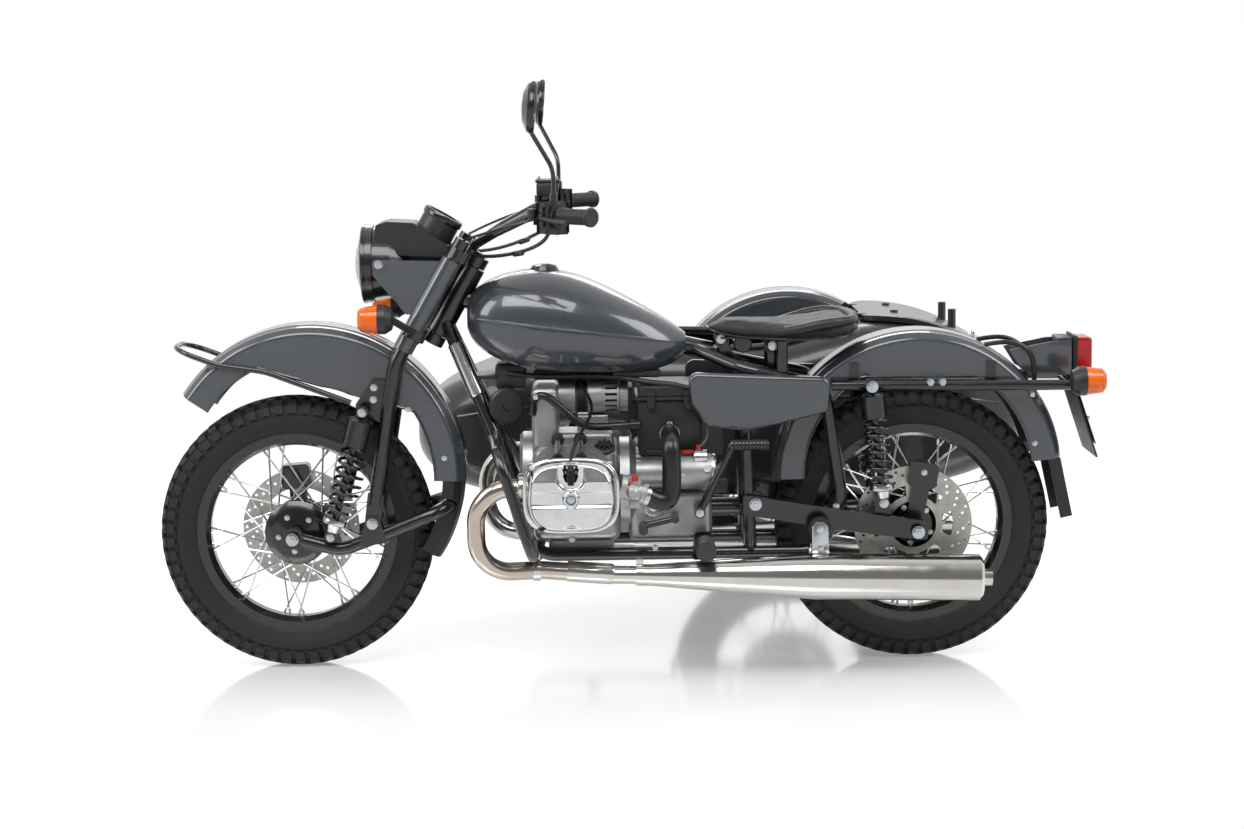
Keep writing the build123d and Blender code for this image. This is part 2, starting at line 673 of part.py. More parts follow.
def make_hand_controls():
    """Grip, switch case and lever of each side, bored for the bar."""
    fit = BAR_RADIUS + SEAT_GAP
    grip = rod(along_grip(0.32), along_grip(1.04), GRIP_RADIUS)
    grip += rod(along_grip(1.0), along_grip(1.06), GRIP_RADIUS + 5)
    case = rod(along_grip(0.08), along_grip(0.32), 30)
    perch = along_grip(0.2)
    lever_root = perch + Vector(38, 10, -4)
    lever = rod(perch, lever_root, 10)
    lever += tube([tuple(lever_root), tuple(lever_root + Vector(-30, 60, -4)),
                   tuple(along_grip(0.92) + Vector(46, 30, -12))],
                  6.0, [30.0])
    whole = grip + case + lever
    whole -= rod(along_grip(-0.3), along_grip(1.02), fit)
    whole -= rod(along_grip(-0.3), along_grip(0.02), 60)
    return both(max(whole.solids(), key=lambda solid: solid.volume))


MIRROR_CENTRE = (-628.0, 398.0, 1060.0)
MIRROR_RADIUS = 62.0


def make_mirrors():
    """Round mirror on a bent stalk that stands on the switch case."""
    foot = along_grip(0.2)
    x, y, z = front(*MIRROR_CENTRE)
    base = (foot.X + 4, foot.Y, foot.Z + 30 + SEAT_GAP)
    stalk = tube([base, (foot.X + 4, foot.Y, foot.Z + 110), (x + 18, y, z - 40), (x + 16, y, z)], 5.5,
                 [60.0, 40.0])
    stalk += rod(base, (base[0], base[1], base[2] + 22), 9)
    r = MIRROR_RADIUS
    shell = turned([(0, 0), (0, r - 2), (6, r), (14, r - 4), (26, r * 0.55), (30, 0), (0, 0)], (x, y, z),
                   (x + 1, y, z + 0.08))
    return both(stalk + shell)


CALIPER_SIZE = (74.0, 62.0)


def make_caliper():
    """Brake caliper that straddles the disc straight above the axle, drawn at the wheel's centre."""
    long, tall = CALIPER_SIZE
    middle = HUB_HALF_WIDTH + DISC_THICKNESS / 2
    slot = DISC_THICKNESS + 2 * MOVING_GAP
    out_y, in_y = 16.0, 8.0
    body = Pos(0, 0, DISC_RADIUS - 18) * Box(long, slot + out_y + in_y, tall)
    body = fillet(body.edges().filter_by(Axis.Y), 12)
    body = Pos(0, (out_y - in_y) / 2, 0) * body
    body -= Pos(0, 0, 0) * Rot(90, 0, 0) * Cylinder(DISC_RADIUS + MOVING_GAP, slot)
    body = max(body.solids(), key=lambda solid: solid.volume)
    return Pos(0, middle, 0) * body


def make_hung_caliper():
    """A caliper over the left side of a wheel with the arm and ring that hold it on the axle's collar."""
    face = HUB_HALF_WIDTH + DISC_THICKNESS + MOVING_GAP
    hole = COLLAR_RADIUS + SEAT_GAP
    arm = plate([(-20, 22), (20, 22), (24, DISC_RADIUS - 30), (-24, DISC_RADIUS - 30)], face, face + 9, 6)
    eye = ring([(face, hole), (face, 30), (face + 9, 30), (face + 9, hole), (face, hole)])
    return make_caliper() + arm + eye - rod((0, 0, 0), (0, 200, 0), hole)


def make_front_caliper():
    """Caliper over the right-hand disc of the front wheel."""
    return Pos(FRONT_AXLE) * Rot(0, 4, 0) * mirrored(make_hung_caliper())


def make_fender_guard():
    """Bent rod along the lower edge of the front mudguard that loops round its nose."""
    half = GUARD_WIDTH / 2 + 7 + SEAT_GAP
    # columns: x from the front axle, y, z
    left = [(-150, half, 334), (60, half, 415), (175, half, 432), (285, half, 474)]
    points = [front(x, y, z) for x, y, z in left] + [front(x, -y, z) for x, y, z in reversed(left)]
    return tube(points, 7.0, [200.0, 150.0, 60.0, 60.0, 150.0, 200.0])


# Frame


def cradle_side(s, radius):
    """One side of the cradle: the closed loop from the head and back to the backbone, and the pivot post."""
    y, low = CRADLE_HALF_WIDTH, CRADLE_FLOOR
    neck_x, _, neck_z = steer(-8, 0, -HEAD_LENGTH / 2 + 35)
    loop = [(neck_x, s * 20, neck_z), (1046, s * 82, 250), (962, s * y, low), (236, s * y, low),
            (186, s * y, 90), (LOOP_TOP_X, s * y, RAIL_HEIGHT), (420, s * y, 404), (540, s * 18, 446)]
    side = tube(loop, radius, [220.0, 90.0, 70.0, 60.0, 70.0, 90.0])
    return side + rod((POST_X, s * y, low), (SEAT_POST[0], s * y, SEAT_POST[1]), radius)


def make_frame():
    """Welded cradle: steering head, backbone, two closed side loops, pivot posts and cross tubes."""
    body = rod(steer(0, 0, -HEAD_LENGTH / 2), steer(0, 0, HEAD_LENGTH / 2), HEAD_RADIUS)
    neck, end = Vector(*steer(-10, 0, 10)), Vector(*BACKBONE_END)
    body += rod(neck, end, BACKBONE_RADIUS)
    for share in (0.22, 0.74):
        rest = neck + (end - neck) * share
        body += rod(rest, rest + (end - neck).normalized() * 26, BACKBONE_RADIUS + MOVING_GAP - SEAT_GAP)
    y, low = CRADLE_HALF_WIDTH, CRADLE_FLOOR
    for s in (1, -1):
        body += cradle_side(s, TUBE_RADIUS)
        body += rod((PIVOT_X, s * (y - 16), PIVOT_Z), (PIVOT_X, s * (y + 16), PIVOT_Z), 26)
    for x in (POST_X, 940):
        body += rod((x, -y, low), (x, y, low), TUBE_RADIUS - 3)
    body += rod((SEAT_BAR[0], -68, SEAT_BAR[1]), (SEAT_BAR[0], 68, SEAT_BAR[1]), SEAT_BAR_RADIUS)
    body -= rod(steer(0, 0, -HEAD_LENGTH), steer(0, 0, HEAD_LENGTH), STEM_RADIUS + RUNNING_GAP)
    body -= rod((PIVOT_X, -200, PIVOT_Z), (PIVOT_X, 200, PIVOT_Z), PIVOT_RADIUS + SEAT_GAP)
    return body


def make_rear_subframe():
    """Two rails to the tail with a cross tube, the damper studs and the mudguard's stays."""
    y = CRADLE_HALF_WIDTH
    start = LOOP_TOP_X - TUBE_RADIUS - 2.0
    x, z = SHOCK_TOP
    rail = rod((start, y, RAIL_HEIGHT), (RAIL_END, y, RAIL_HEIGHT - 8), RAIL_RADIUS)
    rail += rod((x, y, z), (x, SHOCK_HALF_WIDTH + 18, z), PIN_RADIUS)
    for stay in (150, -190):
        skin = GUARD_WIDTH / 2 + SEAT_GAP
        rail += block((stay - 12, skin, RAIL_HEIGHT), (stay + 12, skin + 6, RAIL_HEIGHT + 52))
        rail += block((stay - 12, skin, RAIL_HEIGHT - 5), (stay + 12, y, RAIL_HEIGHT + 5))
    tail = RAIL_END + 8
    across = rod((tail, -TAIL_TUBE_HALF, RAIL_HEIGHT - 8), (tail, TAIL_TUBE_HALF, RAIL_HEIGHT - 8),
                 TAIL_TUBE_RADIUS)
    return rail + mirrored(rail) + across


# Rear suspension and drive
def make_swingarm():
    """Pivot tube, two tapering box arms with damper lugs, and the rear axle with its collars."""
    body = rod((PIVOT_X, -ARM_OUT, PIVOT_Z), (PIVOT_X, ARM_OUT, PIVOT_Z), PIVOT_RADIUS)
    x, z = SHOCK_FOOT
    for side in (1, -1):
        low, high = sorted((side * ARM_IN, side * ARM_OUT))
        arm = [(PIVOT_X + 30, PIVOT_Z + 24), (90, 40), (-26, 24), (-26, -24), (90, -10),
               (PIVOT_X + 30, PIVOT_Z - 26)]
        body += plate(arm, low, high, 8)
        lug_in = SHOCK_HALF_WIDTH - EYE_HALF - 1
        low, high = sorted((side * (lug_in - 12), side * lug_in))
        body += plate([(x - 26, 0), (x + 26, 4), (x + 14, z + 14), (x - 14, z + 14)], low, high, 6)
        body += rod((x, side * (lug_in - 12), 16), (x, side * ARM_OUT, 16), 13)
        body += rod((x, side * (lug_in - 12), z), (x, side * (SHOCK_HALF_WIDTH + 16), z), PIN_RADIUS)
    body += rod((0, side * -ARM_IN, 0), (0, side * -(HUB_HALF_WIDTH + DISC_THICKNESS + MOVING_GAP), 0),
                COLLAR_RADIUS)
    body += rod((0, -ARM_OUT - 18, 0), (0, ARM_OUT + 18, 0), AXLE_RADIUS)
    return body


def make_final_drive():
    """Bevel box on the right of the rear wheel with its nose and the open shaft to the gearbox."""
    start = -HUB_HALF_WIDTH - MOVING_GAP
    end = -ARM_IN + SEAT_GAP
    box = [(start, AXLE_RADIUS + SEAT_GAP), (start, 84), (start - 8, 92), (start - 24, 92),
           (start - 38, 68),
           (start - 50, 48), (end, 44), (end, AXLE_RADIUS + SEAT_GAP), (start, AXLE_RADIUS + SEAT_GAP)]
    body = ring(box)
    nose = turned([(0, 0), (0, 36), (96, 27), (104, 17), (176, 17), (176, 0), (0, 0)], (60, SHAFT_Y, 10),
                  (61, SHAFT_Y, 10.05))
    shaft = rod((226, SHAFT_Y, 18), (440, SHAFT_Y, SHAFT_Z), 10.5)
    joint = rod((430, SHAFT_Y, SHAFT_Z), (GEARBOX_REAR - SEAT_GAP, SHAFT_Y, SHAFT_Z), 24)
    axle_hole = rod((0, start + 1, 0), (0, end - 40, 0), AXLE_RADIUS + SEAT_GAP)
    hub_room = rod((0, start, 0), (0, 0, 0), HUB_COVER_RADIUS + MOVING_GAP)
    return body + nose + shaft + joint - axle_hole - hub_room


def make_shocks():
    """The two rear dampers and the sidecar's one."""
    y = SHOCK_HALF_WIDTH
    pin = PIN_RADIUS + SEAT_GAP
    pair = both(make_damper((SHOCK_TOP[0], y, SHOCK_TOP[1]), (SHOCK_FOOT[0], y, SHOCK_FOOT[1]), EYE_RADIUS,
                            31.0, pin))
    side = make_damper(SIDE_SHOCK_TOP, SIDE_SHOCK_FOOT, EYE_RADIUS, 24.0, pin)
    return group(pair, side)


def make_calipers():
    """Calipers of the rear and the sidecar wheel."""
    whole = make_hung_caliper()
    return group(Rot(0, -10, 0) * whole, Pos(SIDE_AXLE) * Rot(0, -30, 0) * whole)


# Engine
def finned(start, count, core, fin_x, fin_z, length):
    """A round core along y with a row of rounded fins round it, drawn from start outwards."""
    body = Pos(0, start + length / 2, 0) * Rot(90, 0, 0) * Cylinder(core, length)
    for index in range(count):
        fin = Box(fin_x * 2, FIN_THICKNESS, fin_z * 2)
        fin = fillet(fin.edges().filter_by(Axis.Y), min(fin_x, fin_z) * 0.45)
        body += Pos(0, start + (index + 0.7) * FIN_PITCH, 0) * fin
    return body


def cylinder_place(side):
    """The left cylinder stands ahead of the right one by the crank's stagger."""
    return Pos(CRANK_X if side > 0 else CRANK_X - CYLINDER_STAGGER, 0, CRANK_Z)


def flat_twin(shape):
    """A left piece of the top end and its right twin, each at its own cylinder."""
    return group(cylinder_place(1) * shape, cylinder_place(-1) * mirrored(shape))


def make_crankcase():
    """Crankcase with its timing chest, front cover, deck, sump and the two cylinder feet."""
    half = CASE_HALF_WIDTH - 10
    body = block((CASE_REAR, -half, -22), (CASE_FRONT, half, 216), 26)
    body += round_cover(CASE_FRONT, CASE_FRONT + 32, 96, CRANK_Z + 10)
    body += block((748, -62, 200), (950, 62, DECK_Z), 14)
    body += block((TIMING_REAR, -88, 190), (CASE_FRONT, 88, TIMING_TOP), 16)
    cradle_top = ALTERNATOR_Z - ALTERNATOR_RADIUS - SEAT_GAP
    body += block((760, -26, DECK_Z - 20), (840, 26, cradle_top), 5)
    body += block((752, -92, SUMP_Z), (916, 92, 10), 12)
    foot = SUMP_Z + 26
    for x in (770, 880):
        for side in (1, -1):
            low, high = sorted((side * 70, side * (CRADLE_HALF_WIDTH - TUBE_RADIUS - SEAT_GAP)))
            body += block((x, low, foot - 22), (x + 30, high, foot))
    for side in (1, -1):
        place = cylinder_place(side)
        body += place * Pos(0, side * (CASE_HALF_WIDTH - 20), 0) * Rot(90, 0, 0) * Cylinder(76, 40)
    return body


def round_cover(low, high, radius, z):
    """A round cover with a softened edge that faces forward."""
    return turned([(0, 0), (0, radius), (high - low - 8, radius), (high - low, radius - 8), (high - low, 0),
                   (0, 0)],
                  (low, 0, z), (low + 1, 0, z))


def make_gearbox():
    """Gearbox behind the crankcase with its clutch ring and rear face."""
    ring_x = CASE_REAR - SEAT_GAP
    body = turned([(0, 0), (0, 121), (24, 121), (40, 106), (40, 0), (0, 0)], (ring_x, 0, 104),
                  (ring_x - 1, 0, 104))
    body += block((GEARBOX_REAR, -94, -26), (ring_x - 20, 94, 102), 18)
    body += block((GEARBOX_REAR + 20, -58, 60), (ring_x - 20, 58, AIRBOX_LOW - SEAT_GAP), 14)
    body += rod((GEARBOX_REAR, SHAFT_Y, SHAFT_Z), (GEARBOX_REAR + 40, SHAFT_Y, SHAFT_Z), 30)
    return body


def make_cylinders():
    length = BARREL_LENGTH
    return flat_twin(finned(CASE_HALF_WIDTH + SEAT_GAP, 11, 58.0, 88.0, 86.0, length))


HEAD_Y = CASE_HALF_WIDTH + BARREL_LENGTH + 2 * SEAT_GAP
COVER_Y = HEAD_Y + HEAD_WIDTH + SEAT_GAP


def make_cylinder_heads():
    """Finned heads with an exhaust stub at the front and an intake stub at the back."""
    body = finned(HEAD_Y, 6, 70.0, 104.0, 84.0, HEAD_WIDTH)
    rocker = block((-100, HEAD_Y + HEAD_WIDTH - 14, -78), (100, HEAD_Y + HEAD_WIDTH, 80), 5)
    body += rocker
    body += rod((40, PORT_Y, PORT_DZ), (PORT_REACH, PORT_Y, PORT_DZ), PIPE_RADIUS + 8)
    body += rod((-40, PORT_Y, PORT_DZ), (-PORT_REACH, PORT_Y, PORT_DZ), PIPE_RADIUS + 6)
    return flat_twin(body)


def make_valve_covers():
    """Rocker covers: flange, tapered shell, sunk band, the bolt's boss, the plug's slot and the scallop."""
    low, top = COVER_Y, COVER_Y + COVER_DEPTH
    outline = [(-116, -30), (-88, -92), (88, -92), (116, -30), (116, 44), (84, 92), (-84, 92), (-116, 44)]
    body = plate(outline, low, low + 14, 24)
    body += plate([(x * 0.95, z * 0.94) for x, z in outline], low + 12, top, 22, taper=15)
    body = fillet(body.faces().sort_by(Axis.Y)[-1].edges(), 5)
    body -= block((-120, top - 2.5, -20), (120, top + 10, 14))
    body += rod((0, low, -3), (0, top + 3, -3), 18)
    body -= rod((0, top - 4, -3), (0, top + 4, -3), 11)
    body -= rod((0, top - 15, PLUG_SLOT_Z), (0, top + 10, PLUG_SLOT_Z), 30)
    body -= block((-30, top - 15, PLUG_SLOT_Z), (30, top + 10, 120))
    body -= rod((0, low - 1, PLUG_SLOT_Z + 10), (0, top + 10, PLUG_SLOT_Z + 10), 16)
    body -= block((-16, low - 1, PLUG_SLOT_Z + 10), (16, top + 10, 120))
    body -= rod((0, low + 14, -88), (0, top + 10, -88), 21)
    return flat_twin(body)


def make_alternator():
    """Alternator driven from the timing chest, with a band of cooling slots behind its mounting ring."""
    r = ALTERNATOR_RADIUS
    start = (ALTERNATOR_REAR, 0, ALTERNATOR_Z)
    end = (TIMING_REAR - SEAT_GAP, 0, ALTERNATOR_Z)
    length = end[0] - start[0]
    profile = [
        (0, 0), (0, r - 16), (10, r - 6), (30, r - 6), (32, r - 1), (72, r - 1), (74, r), (110, r),
        (112, r - 8), (140, r - 8), (142, r - 2), (length, r - 2), (length, 0), (0, 0),
    ]
    body = turned(profile, start, end)
    slot = Box(30, 6, 16)
    for turn in range(0, 360, 20):
        body -= Pos(start) * Rot(turn, 0, 0) * Pos(52, 0, r) * slot
    return body


def make_starter():
    """Starter motor on the left of the gearbox with its nose in the clutch ring."""
    nose_end = CASE_REAR - SEAT_GAP - 40 - SEAT_GAP
    r = 44.0
    body = turned([(0, 0), (0, r - 6), (8, r), (102, r), (108, 30), (nose_end - 497, 30),
                   (nose_end - 497, 0), (0, 0)],
                  (497, 112, 153), (498, 112, 153))
    return body + rod((520, 130, 153), (520, 168, 168), 9)


def make_air_box():
    """Ribbed filter box on the gearbox with its two outlets."""
    body = block((528, -92, AIRBOX_LOW), (690, 92, 366), 14)
    for z in range(224, 350, 24):
        band = block((525, -95, z), (693, 95, z + 8), 3)
        body += band
    for side in (1, -1):
        x = intake_points(side)[2][0]
        body += rod((x, side * 80, AIR_PORT_Z), (x, side * AIR_PORT_Y, AIR_PORT_Z), 26)
    return body


def intake_points(side):
    """The run of one intake: head port, throttle's back end, lowest bend, upper bend, filter box port."""
    crank = CRANK_X if side > 0 else CRANK_X - CYLINDER_STAGGER
    port = (crank - PORT_REACH - SEAT_GAP, side * PORT_Y, CRANK_Z + PORT_DZ)
    throat = (port[0] - 70, side * (PORT_Y - 14), port[2] - 26)
    low = (throat[0] - 60, side * (PORT_Y - 32), throat[2] - 18)
    elbow = (low[0], side * (PORT_Y - 56), AIR_PORT_Z)
    return port, throat, low, elbow, (low[0], side * (AIR_PORT_Y + SEAT_GAP), AIR_PORT_Z)


def make_intakes():
    """Rubber elbow from the filter box and the throttle body on each head."""
    pieces = []
    for side in (1, -1):
        port, throat, low, elbow, box = intake_points(side)
        hose = tube([box, elbow, low, throat], 23.0, [36.0, 36.0])
        flange = Vector(*port) + Vector(-12, 0, 0)
        throttle = rod(throat, flange, 24) + rod(flange, port, PIPE_RADIUS + 9)
        pieces.append(hose + throttle)
    return group(*pieces)


def header_points(side):
    crank = CRANK_X if side > 0 else CRANK_X - CYLINDER_STAGGER
    return [(crank + PORT_REACH + SEAT_GAP, side * PORT_Y, CRANK_Z + PORT_DZ),
            (1085, side * PORT_Y, CRANK_Z + PORT_DZ),
            (1085, side * (PORT_Y - 24), PIPE_LOW_Z), (930, side * 238, PIPE_LOW_Z - 2),
            (MUFFLER_START + 80, side * MUFFLER_Y, MUFFLER_Z - MUFFLER_DROP * 0.8),
            (MUFFLER_START, side * MUFFLER_Y, MUFFLER_Z)]


def make_exhaust_pipes():
    """Header of each side, from the head forward, down and back to the muffler, with its collars."""
    pieces = []
    for side in (1, -1):
        points = header_points(side)
        pipe = tube(points, PIPE_RADIUS, [88.0, 88.0, 120.0, 200.0])
        start = Vector(*points[0])
        pipe += rod(start, start + Vector(14, 0, 0), PIPE_RADIUS + 9)
        pieces.append(pipe)
    return group(*pieces)


def make_mufflers():
    """Silencer of each side: socket, long cone, straight barrel and short tail pipe, with the hanger."""
    r = MUFFLER_RADIUS
    socket = PIPE_RADIUS + SEAT_GAP
    profile = [(-34, socket), (-34, socket + 4), (0, socket + 4), (404, r), (700, r), (806, r),
               (814, r - 10), (814, 20),
               (838, 20), (838, 14), (790, 14), (790, 0), (SEAT_GAP, 0), (SEAT_GAP, socket), (-34, socket)]
    start = Vector(MUFFLER_START, MUFFLER_Y, MUFFLER_Z)
    body = turned(profile, start, start + Vector(-100, 0, MUFFLER_DROP))
    hanger = plate([(232, -95), (280, -95), (268, -20), (244, -20)],
                   CRADLE_HALF_WIDTH + TUBE_RADIUS + SEAT_GAP, MUFFLER_Y - 46)
    inside = turned([(0, 0), (0, socket + 3), (404, r - 1), (806, r - 1), (806, 0), (0, 0)], start,
                    start + Vector(-100, 0, MUFFLER_DROP))
    return both(body + (hanger - inside))


def make_crash_bar():
    """Bent bar that stands out round the left cylinder."""
    points = [(1046, 86, 246), (1024, 396, 246), (944, 396, -8), (958, 108, -16)]
    bar = tube(points, 14.0, [60.0, 60.0]) - cradle_side(1, TUBE_RADIUS + SEAT_GAP)
    return max(bar.solids(), key=lambda solid: solid.volume)


def make_foot_controls():
    """Rider's pegs with their brackets, gear pedal, brake pedal and kick pedal."""
    pieces = []
    edge = CRADLE_HALF_WIDTH + TUBE_RADIUS + SEAT_GAP
    for side in (1, -1):
        low, high = sorted((side * edge, side * (edge + 10)))
        peg = plate([(500, -66), (560, -66), (552, 4), (508, 4)], low, high, 8)
        peg += rod((530, side * edge, -14), (530, side * 300, -14), 11)
        peg += rod((530, side * 212, -14), (530, side * 306, -14), 23)
        pieces.append(peg)
    shift = rod((600, 94 + SEAT_GAP, 40), (600, 156, 40), 10) + rod((600, 142, 40), (680, 142, 22), 8)
    shift += rod((680, 134, 22), (680, 200, 22), 12)
    brake = rod((600, -edge, -53), (600, -176, -53), 12) + rod((600, -160, -53), (700, -160, 0), 9)
    brake += rod((700, -150, 0), (700, -215, 0), 12)
    kick = rod((540, 94 + SEAT_GAP, 60), (540, 184, 60), 14) + rod((540, 168, 60), (458, 168, 228), 10)
    kick += rod((370, 182, 228), (464, 182, 228), 12)
    return group(*pieces, shift, brake, kick)


# Tank, saddle and side covers
def shell_section(x, half, low, seam, top):
    """One cross-section of the tank: a flat floor, two full sides and a rounded top."""
    floor = half * 0.62
    left = ThreePointArc((floor, low), (half * 0.95, low + (seam - low) * 0.5), (half, seam))
    crown = ThreePointArc((half, seam), (half * 0.72, seam + (top - seam) * 0.74), (0, top))
    edges = [Line((-floor, low), (floor, low)), left, crown]
    for edge in (crown, left):
        edges.append(mirror(edge, about=Plane.YZ))
    flat = Plane(origin=(x, 0, 0), x_dir=(0, 1, 0), z_dir=(1, 0, 0))
    return flat * make_face(Curve() + edges)


# columns: x, half width, floor, seam, top
TANK_SECTIONS = [
    (1108, 56, 508, 540, 574),
    (1078, 98, 466, 539, 612),
    (1010, 130, 428, 532, 642),
    (916, 143, 408, 520, 652),
    (780, 134, 402, 502, 614),
    (660, 102, 402, 484, 548),
    (566, 40, 440, 470, 486),
]


def make_fuel_tank():
    """Teardrop tank over the backbone, with the tunnel it straddles and the bead along its seam."""
    body = loft([shell_section(*row) for row in reversed(TANK_SECTIONS)])
    room = MOVING_GAP
    tunnel = rod(steer(-10, 0, 10), BACKBONE_END, BACKBONE_RADIUS + room)
    run = Vector(*BACKBONE_END) - Vector(*steer(-10, 0, 10))
    mid = (Vector(*BACKBONE_END) + Vector(*steer(-10, 0, 10))) * 0.5
    under = Plane(origin=mid, x_dir=run, z_dir=Vector(0, 1, 0).cross(run))
    slot = under * Pos(0, 0, -100) * Box(run.length + 200, (BACKBONE_RADIUS + room) * 2, 200)
    head_room = rod(steer(0, 0, -HEAD_LENGTH), steer(0, 0, HEAD_LENGTH), HEAD_RADIUS + room)
    body = body - tunnel - slot - head_room
    well = rod((CAP_X, 0, CAP_Z), (CAP_X, 0, CAP_Z + 100), CAP_RADIUS + 3)
    shell = max((body - well).solids(), key=lambda solid: solid.volume)
    line = Spline(*[(x, half, seam) for x, half, floor, seam, top in TANK_SECTIONS[1:-1]])
    bead = sweep(Plane(origin=line @ 0, z_dir=line % 0) * Circle(SEAM_RADIUS), path=line)
    return shell.fuse(bead, mirrored(bead))


def make_tank_cap():
    return turned([(0, 0), (0, CAP_RADIUS), (10, CAP_RADIUS), (20, CAP_RADIUS - 6), (24, CAP_RADIUS - 22),
                   (24, 0), (0, 0)],
                  (CAP_X, 0, CAP_Z + SEAT_GAP), (CAP_X, 0, CAP_Z + 1 + SEAT_GAP))


def rounded_loft(rows, y, inset=0.0):
    """A body through rounded upright sections, or the same drawn in by a wall's thickness."""
    faces = []
    last = len(rows) - 1
    for index, (x, half, low, top, corner) in enumerate(rows):
        shift = -inset if index == 0 else inset if index == last else 0
        flat = Plane(origin=(x + shift, y, (low + top) / 2), x_dir=(0, 1, 0), z_dir=(1, 0, 0))
        faces.append(flat * RectangleRounded(2 * (half - inset), top - low - 2 * inset,
                                             max(corner - inset, 8)))
    return loft(list(reversed(faces)))


# columns: x, half width, underside, top, corner radius
SADDLE_SECTIONS = [
    (514, 32, 490, 512, 9),
    (470, 62, 478, 525, 18),
    (390, 92, 474, 518, 20),
    (290, 152, 474, 516, 20),
    (210, 170, 474, 532, 22),
    (160, 150, 478, 537, 22),
    (134, 92, 490, 518, 12),
]


def make_saddle():
    """Solo saddle: narrow nose, broad back, dished along its length."""
    return rounded_loft(SADDLE_SECTIONS, 0)


def make_saddle_bracket():
    """Pivot under the saddle's nose and the two rubber posts at its back, on the seat rails."""
    under = SADDLE_SECTIONS[3][2] - SEAT_GAP
    bar_top = SEAT_BAR[1] + SEAT_BAR_RADIUS + SEAT_GAP
    nose = block((SEAT_BAR[0] - 22, -24, bar_top), (SEAT_BAR[0] + 10, 24, under), 4)
    posts = []
    for side in (1, -1):
        post = rod((330, side * 104, 385), (330, side * 104, under), 14)
        posts.append(post - cradle_side(side, TUBE_RADIUS + SEAT_GAP))
    return group(nose, *[max(post.solids(), key=lambda solid: solid.volume) for post in posts])


def make_side_covers():
    """Pressed covers below the saddle, one each side."""
    outline = [(566, 404), (212, 386), (220, 300), (414, 256), (520, 270), (556, 320)]
    body = plate(outline, CRADLE_HALF_WIDTH + TUBE_RADIUS + SEAT_GAP, 150, 24)
    body = fillet(body.faces().sort_by(Axis.Y)[-1].edges(), 10)
    return both(body)


# Tail
def make_tail_bracket():
    """Folded sheet behind the cross tube: lamp back at the top, number board below."""
    face = RAIL_END + 8 - TAIL_TUBE_RADIUS - SEAT_GAP
    lamp_back = block((face - 4, -50, 322), (face, 50, 470))
    board = plate([(face - 4, 326), (face, 326), (face - 52, 168), (face - 56, 170)], -BOARD_HALF,
                  BOARD_HALF)
    body = lamp_back + board
    lean = Vector(-156, 0, 52).normalized()
    centre = Vector(face - 22, 0, 262)
    for side in (1, -1):
        spot = centre + Vector(0, side * PLATE_HOLE_SPACING / 2, 0)
        body -= rod(spot - lean * 40, spot + lean * 40, PLATE_HOLE_RADIUS)
    return body


def make_red_lenses():
    """Tail lamp and the sidecar's tail lamp."""
    face = RAIL_END + 8 - TAIL_TUBE_RADIUS - 2 * SEAT_GAP - 4
    tail = block((face - 44, -45, 372), (face, 45, 464), 8)
    return group(tail, signal_parts(SIDE_TAIL_LAMP, -1)[1])


def make_signals():
    """Round signals at the tail and on the sidecar's mudguard: housings, and the amber lenses."""
    x, y, z = REAR_SIGNAL
    housing, lens = signal_parts(REAR_SIGNAL, -1)
    stalk_z = RAIL_HEIGHT - 8
    stalk = rod((x + 18, TAIL_TUBE_HALF + SEAT_GAP, stalk_z), (x + 18, y - 10, stalk_z), 9)
    mudguard = SIDE_GUARD_PLACE * Rot(90, 0, 0) * Cylinder(REAR_GUARD_RADIUS - CROWN_DROP + SEAT_GAP,
                                                           GUARD_WIDTH)
    side_back, _ = signal_parts(SIDE_TAIL_LAMP, -1)
    side_back = side_back - mudguard
    side_front, side_lens = signal_parts(SIDE_FRONT_LAMP, 1)
    side_front = side_front - mudguard
    return group(both(housing + stalk), side_back, side_front), group(both(lens), side_lens)


# Sidecar
# columns: x, half width, floor, top, corner radius
TUB_SECTIONS = [
    (1290, 70, 110, 200, 40),
    (1240, 158, 46, 262, 80),
    (1120, 228, 2, 322, 90),
    (860, 284, -15, 378, 90),
    (560, 298, -15, 394, 84),
    (300, 298, -15, 396, 84),
    (90, 294, -12, 446, 84),
    (-220, 268, 30, 392, 90),
    (-340, 214, 84, 306, 80),
    (-378, 140, 140, 240, 46),
]


def upright(x_low, x_high, half, corner, low, high):
    """A rounded upright prism about the body's middle, used to cut or to bound an opening."""
    face = Pos((x_low + x_high) / 2, TUB_Y) * RectangleRounded(x_high - x_low, half * 2, corner)
    return Pos(0, 0, low) * extrude(face, high - low)


COCKPIT = (112.0, 640.0, 226.0, 60.0)
TRUNK = (-258.0, 44.0, 196.0, 50.0)
LID_LAP = 28.0
HINGE = (84.0, 466.0)
HINGE_PIN = 5.0
KNUCKLE = 10.0
KNUCKLE_HALF = 14.0
HINGE_SPREAD = 130.0


def make_sidecar_tub():
    """Hollow boat-shaped body with a cockpit, a trunk behind a bulkhead, and the lid's hinge lugs."""
    inner = rounded_loft(TUB_SECTIONS, TUB_Y, TUB_WALL)
    body = rounded_loft(TUB_SECTIONS, TUB_Y) - inner
    wall = Pos(84, TUB_Y, 200) * Box(TUB_WALL, 700, 700)
    body += wall & inner
    body -= upright(*COCKPIT, 180, 700)
    body -= upright(*TRUNK, 180, 700)
    x, z = HINGE
    for side in (1, -1):
        y = TUB_Y + side * HINGE_SPREAD
        body += rod((x, y - KNUCKLE_HALF - 9, z), (x, y + KNUCKLE_HALF + 9, z), HINGE_PIN)
        for cheek in (1, -1):
            low, high = sorted((y + cheek * (KNUCKLE_HALF + 2), y + cheek * (KNUCKLE_HALF + 9)))
            body += plate([(x - 12, 434), (x + 12, 434), (x + 8, z + 8), (x - 8, z + 8)], low, high, 4)
    return body


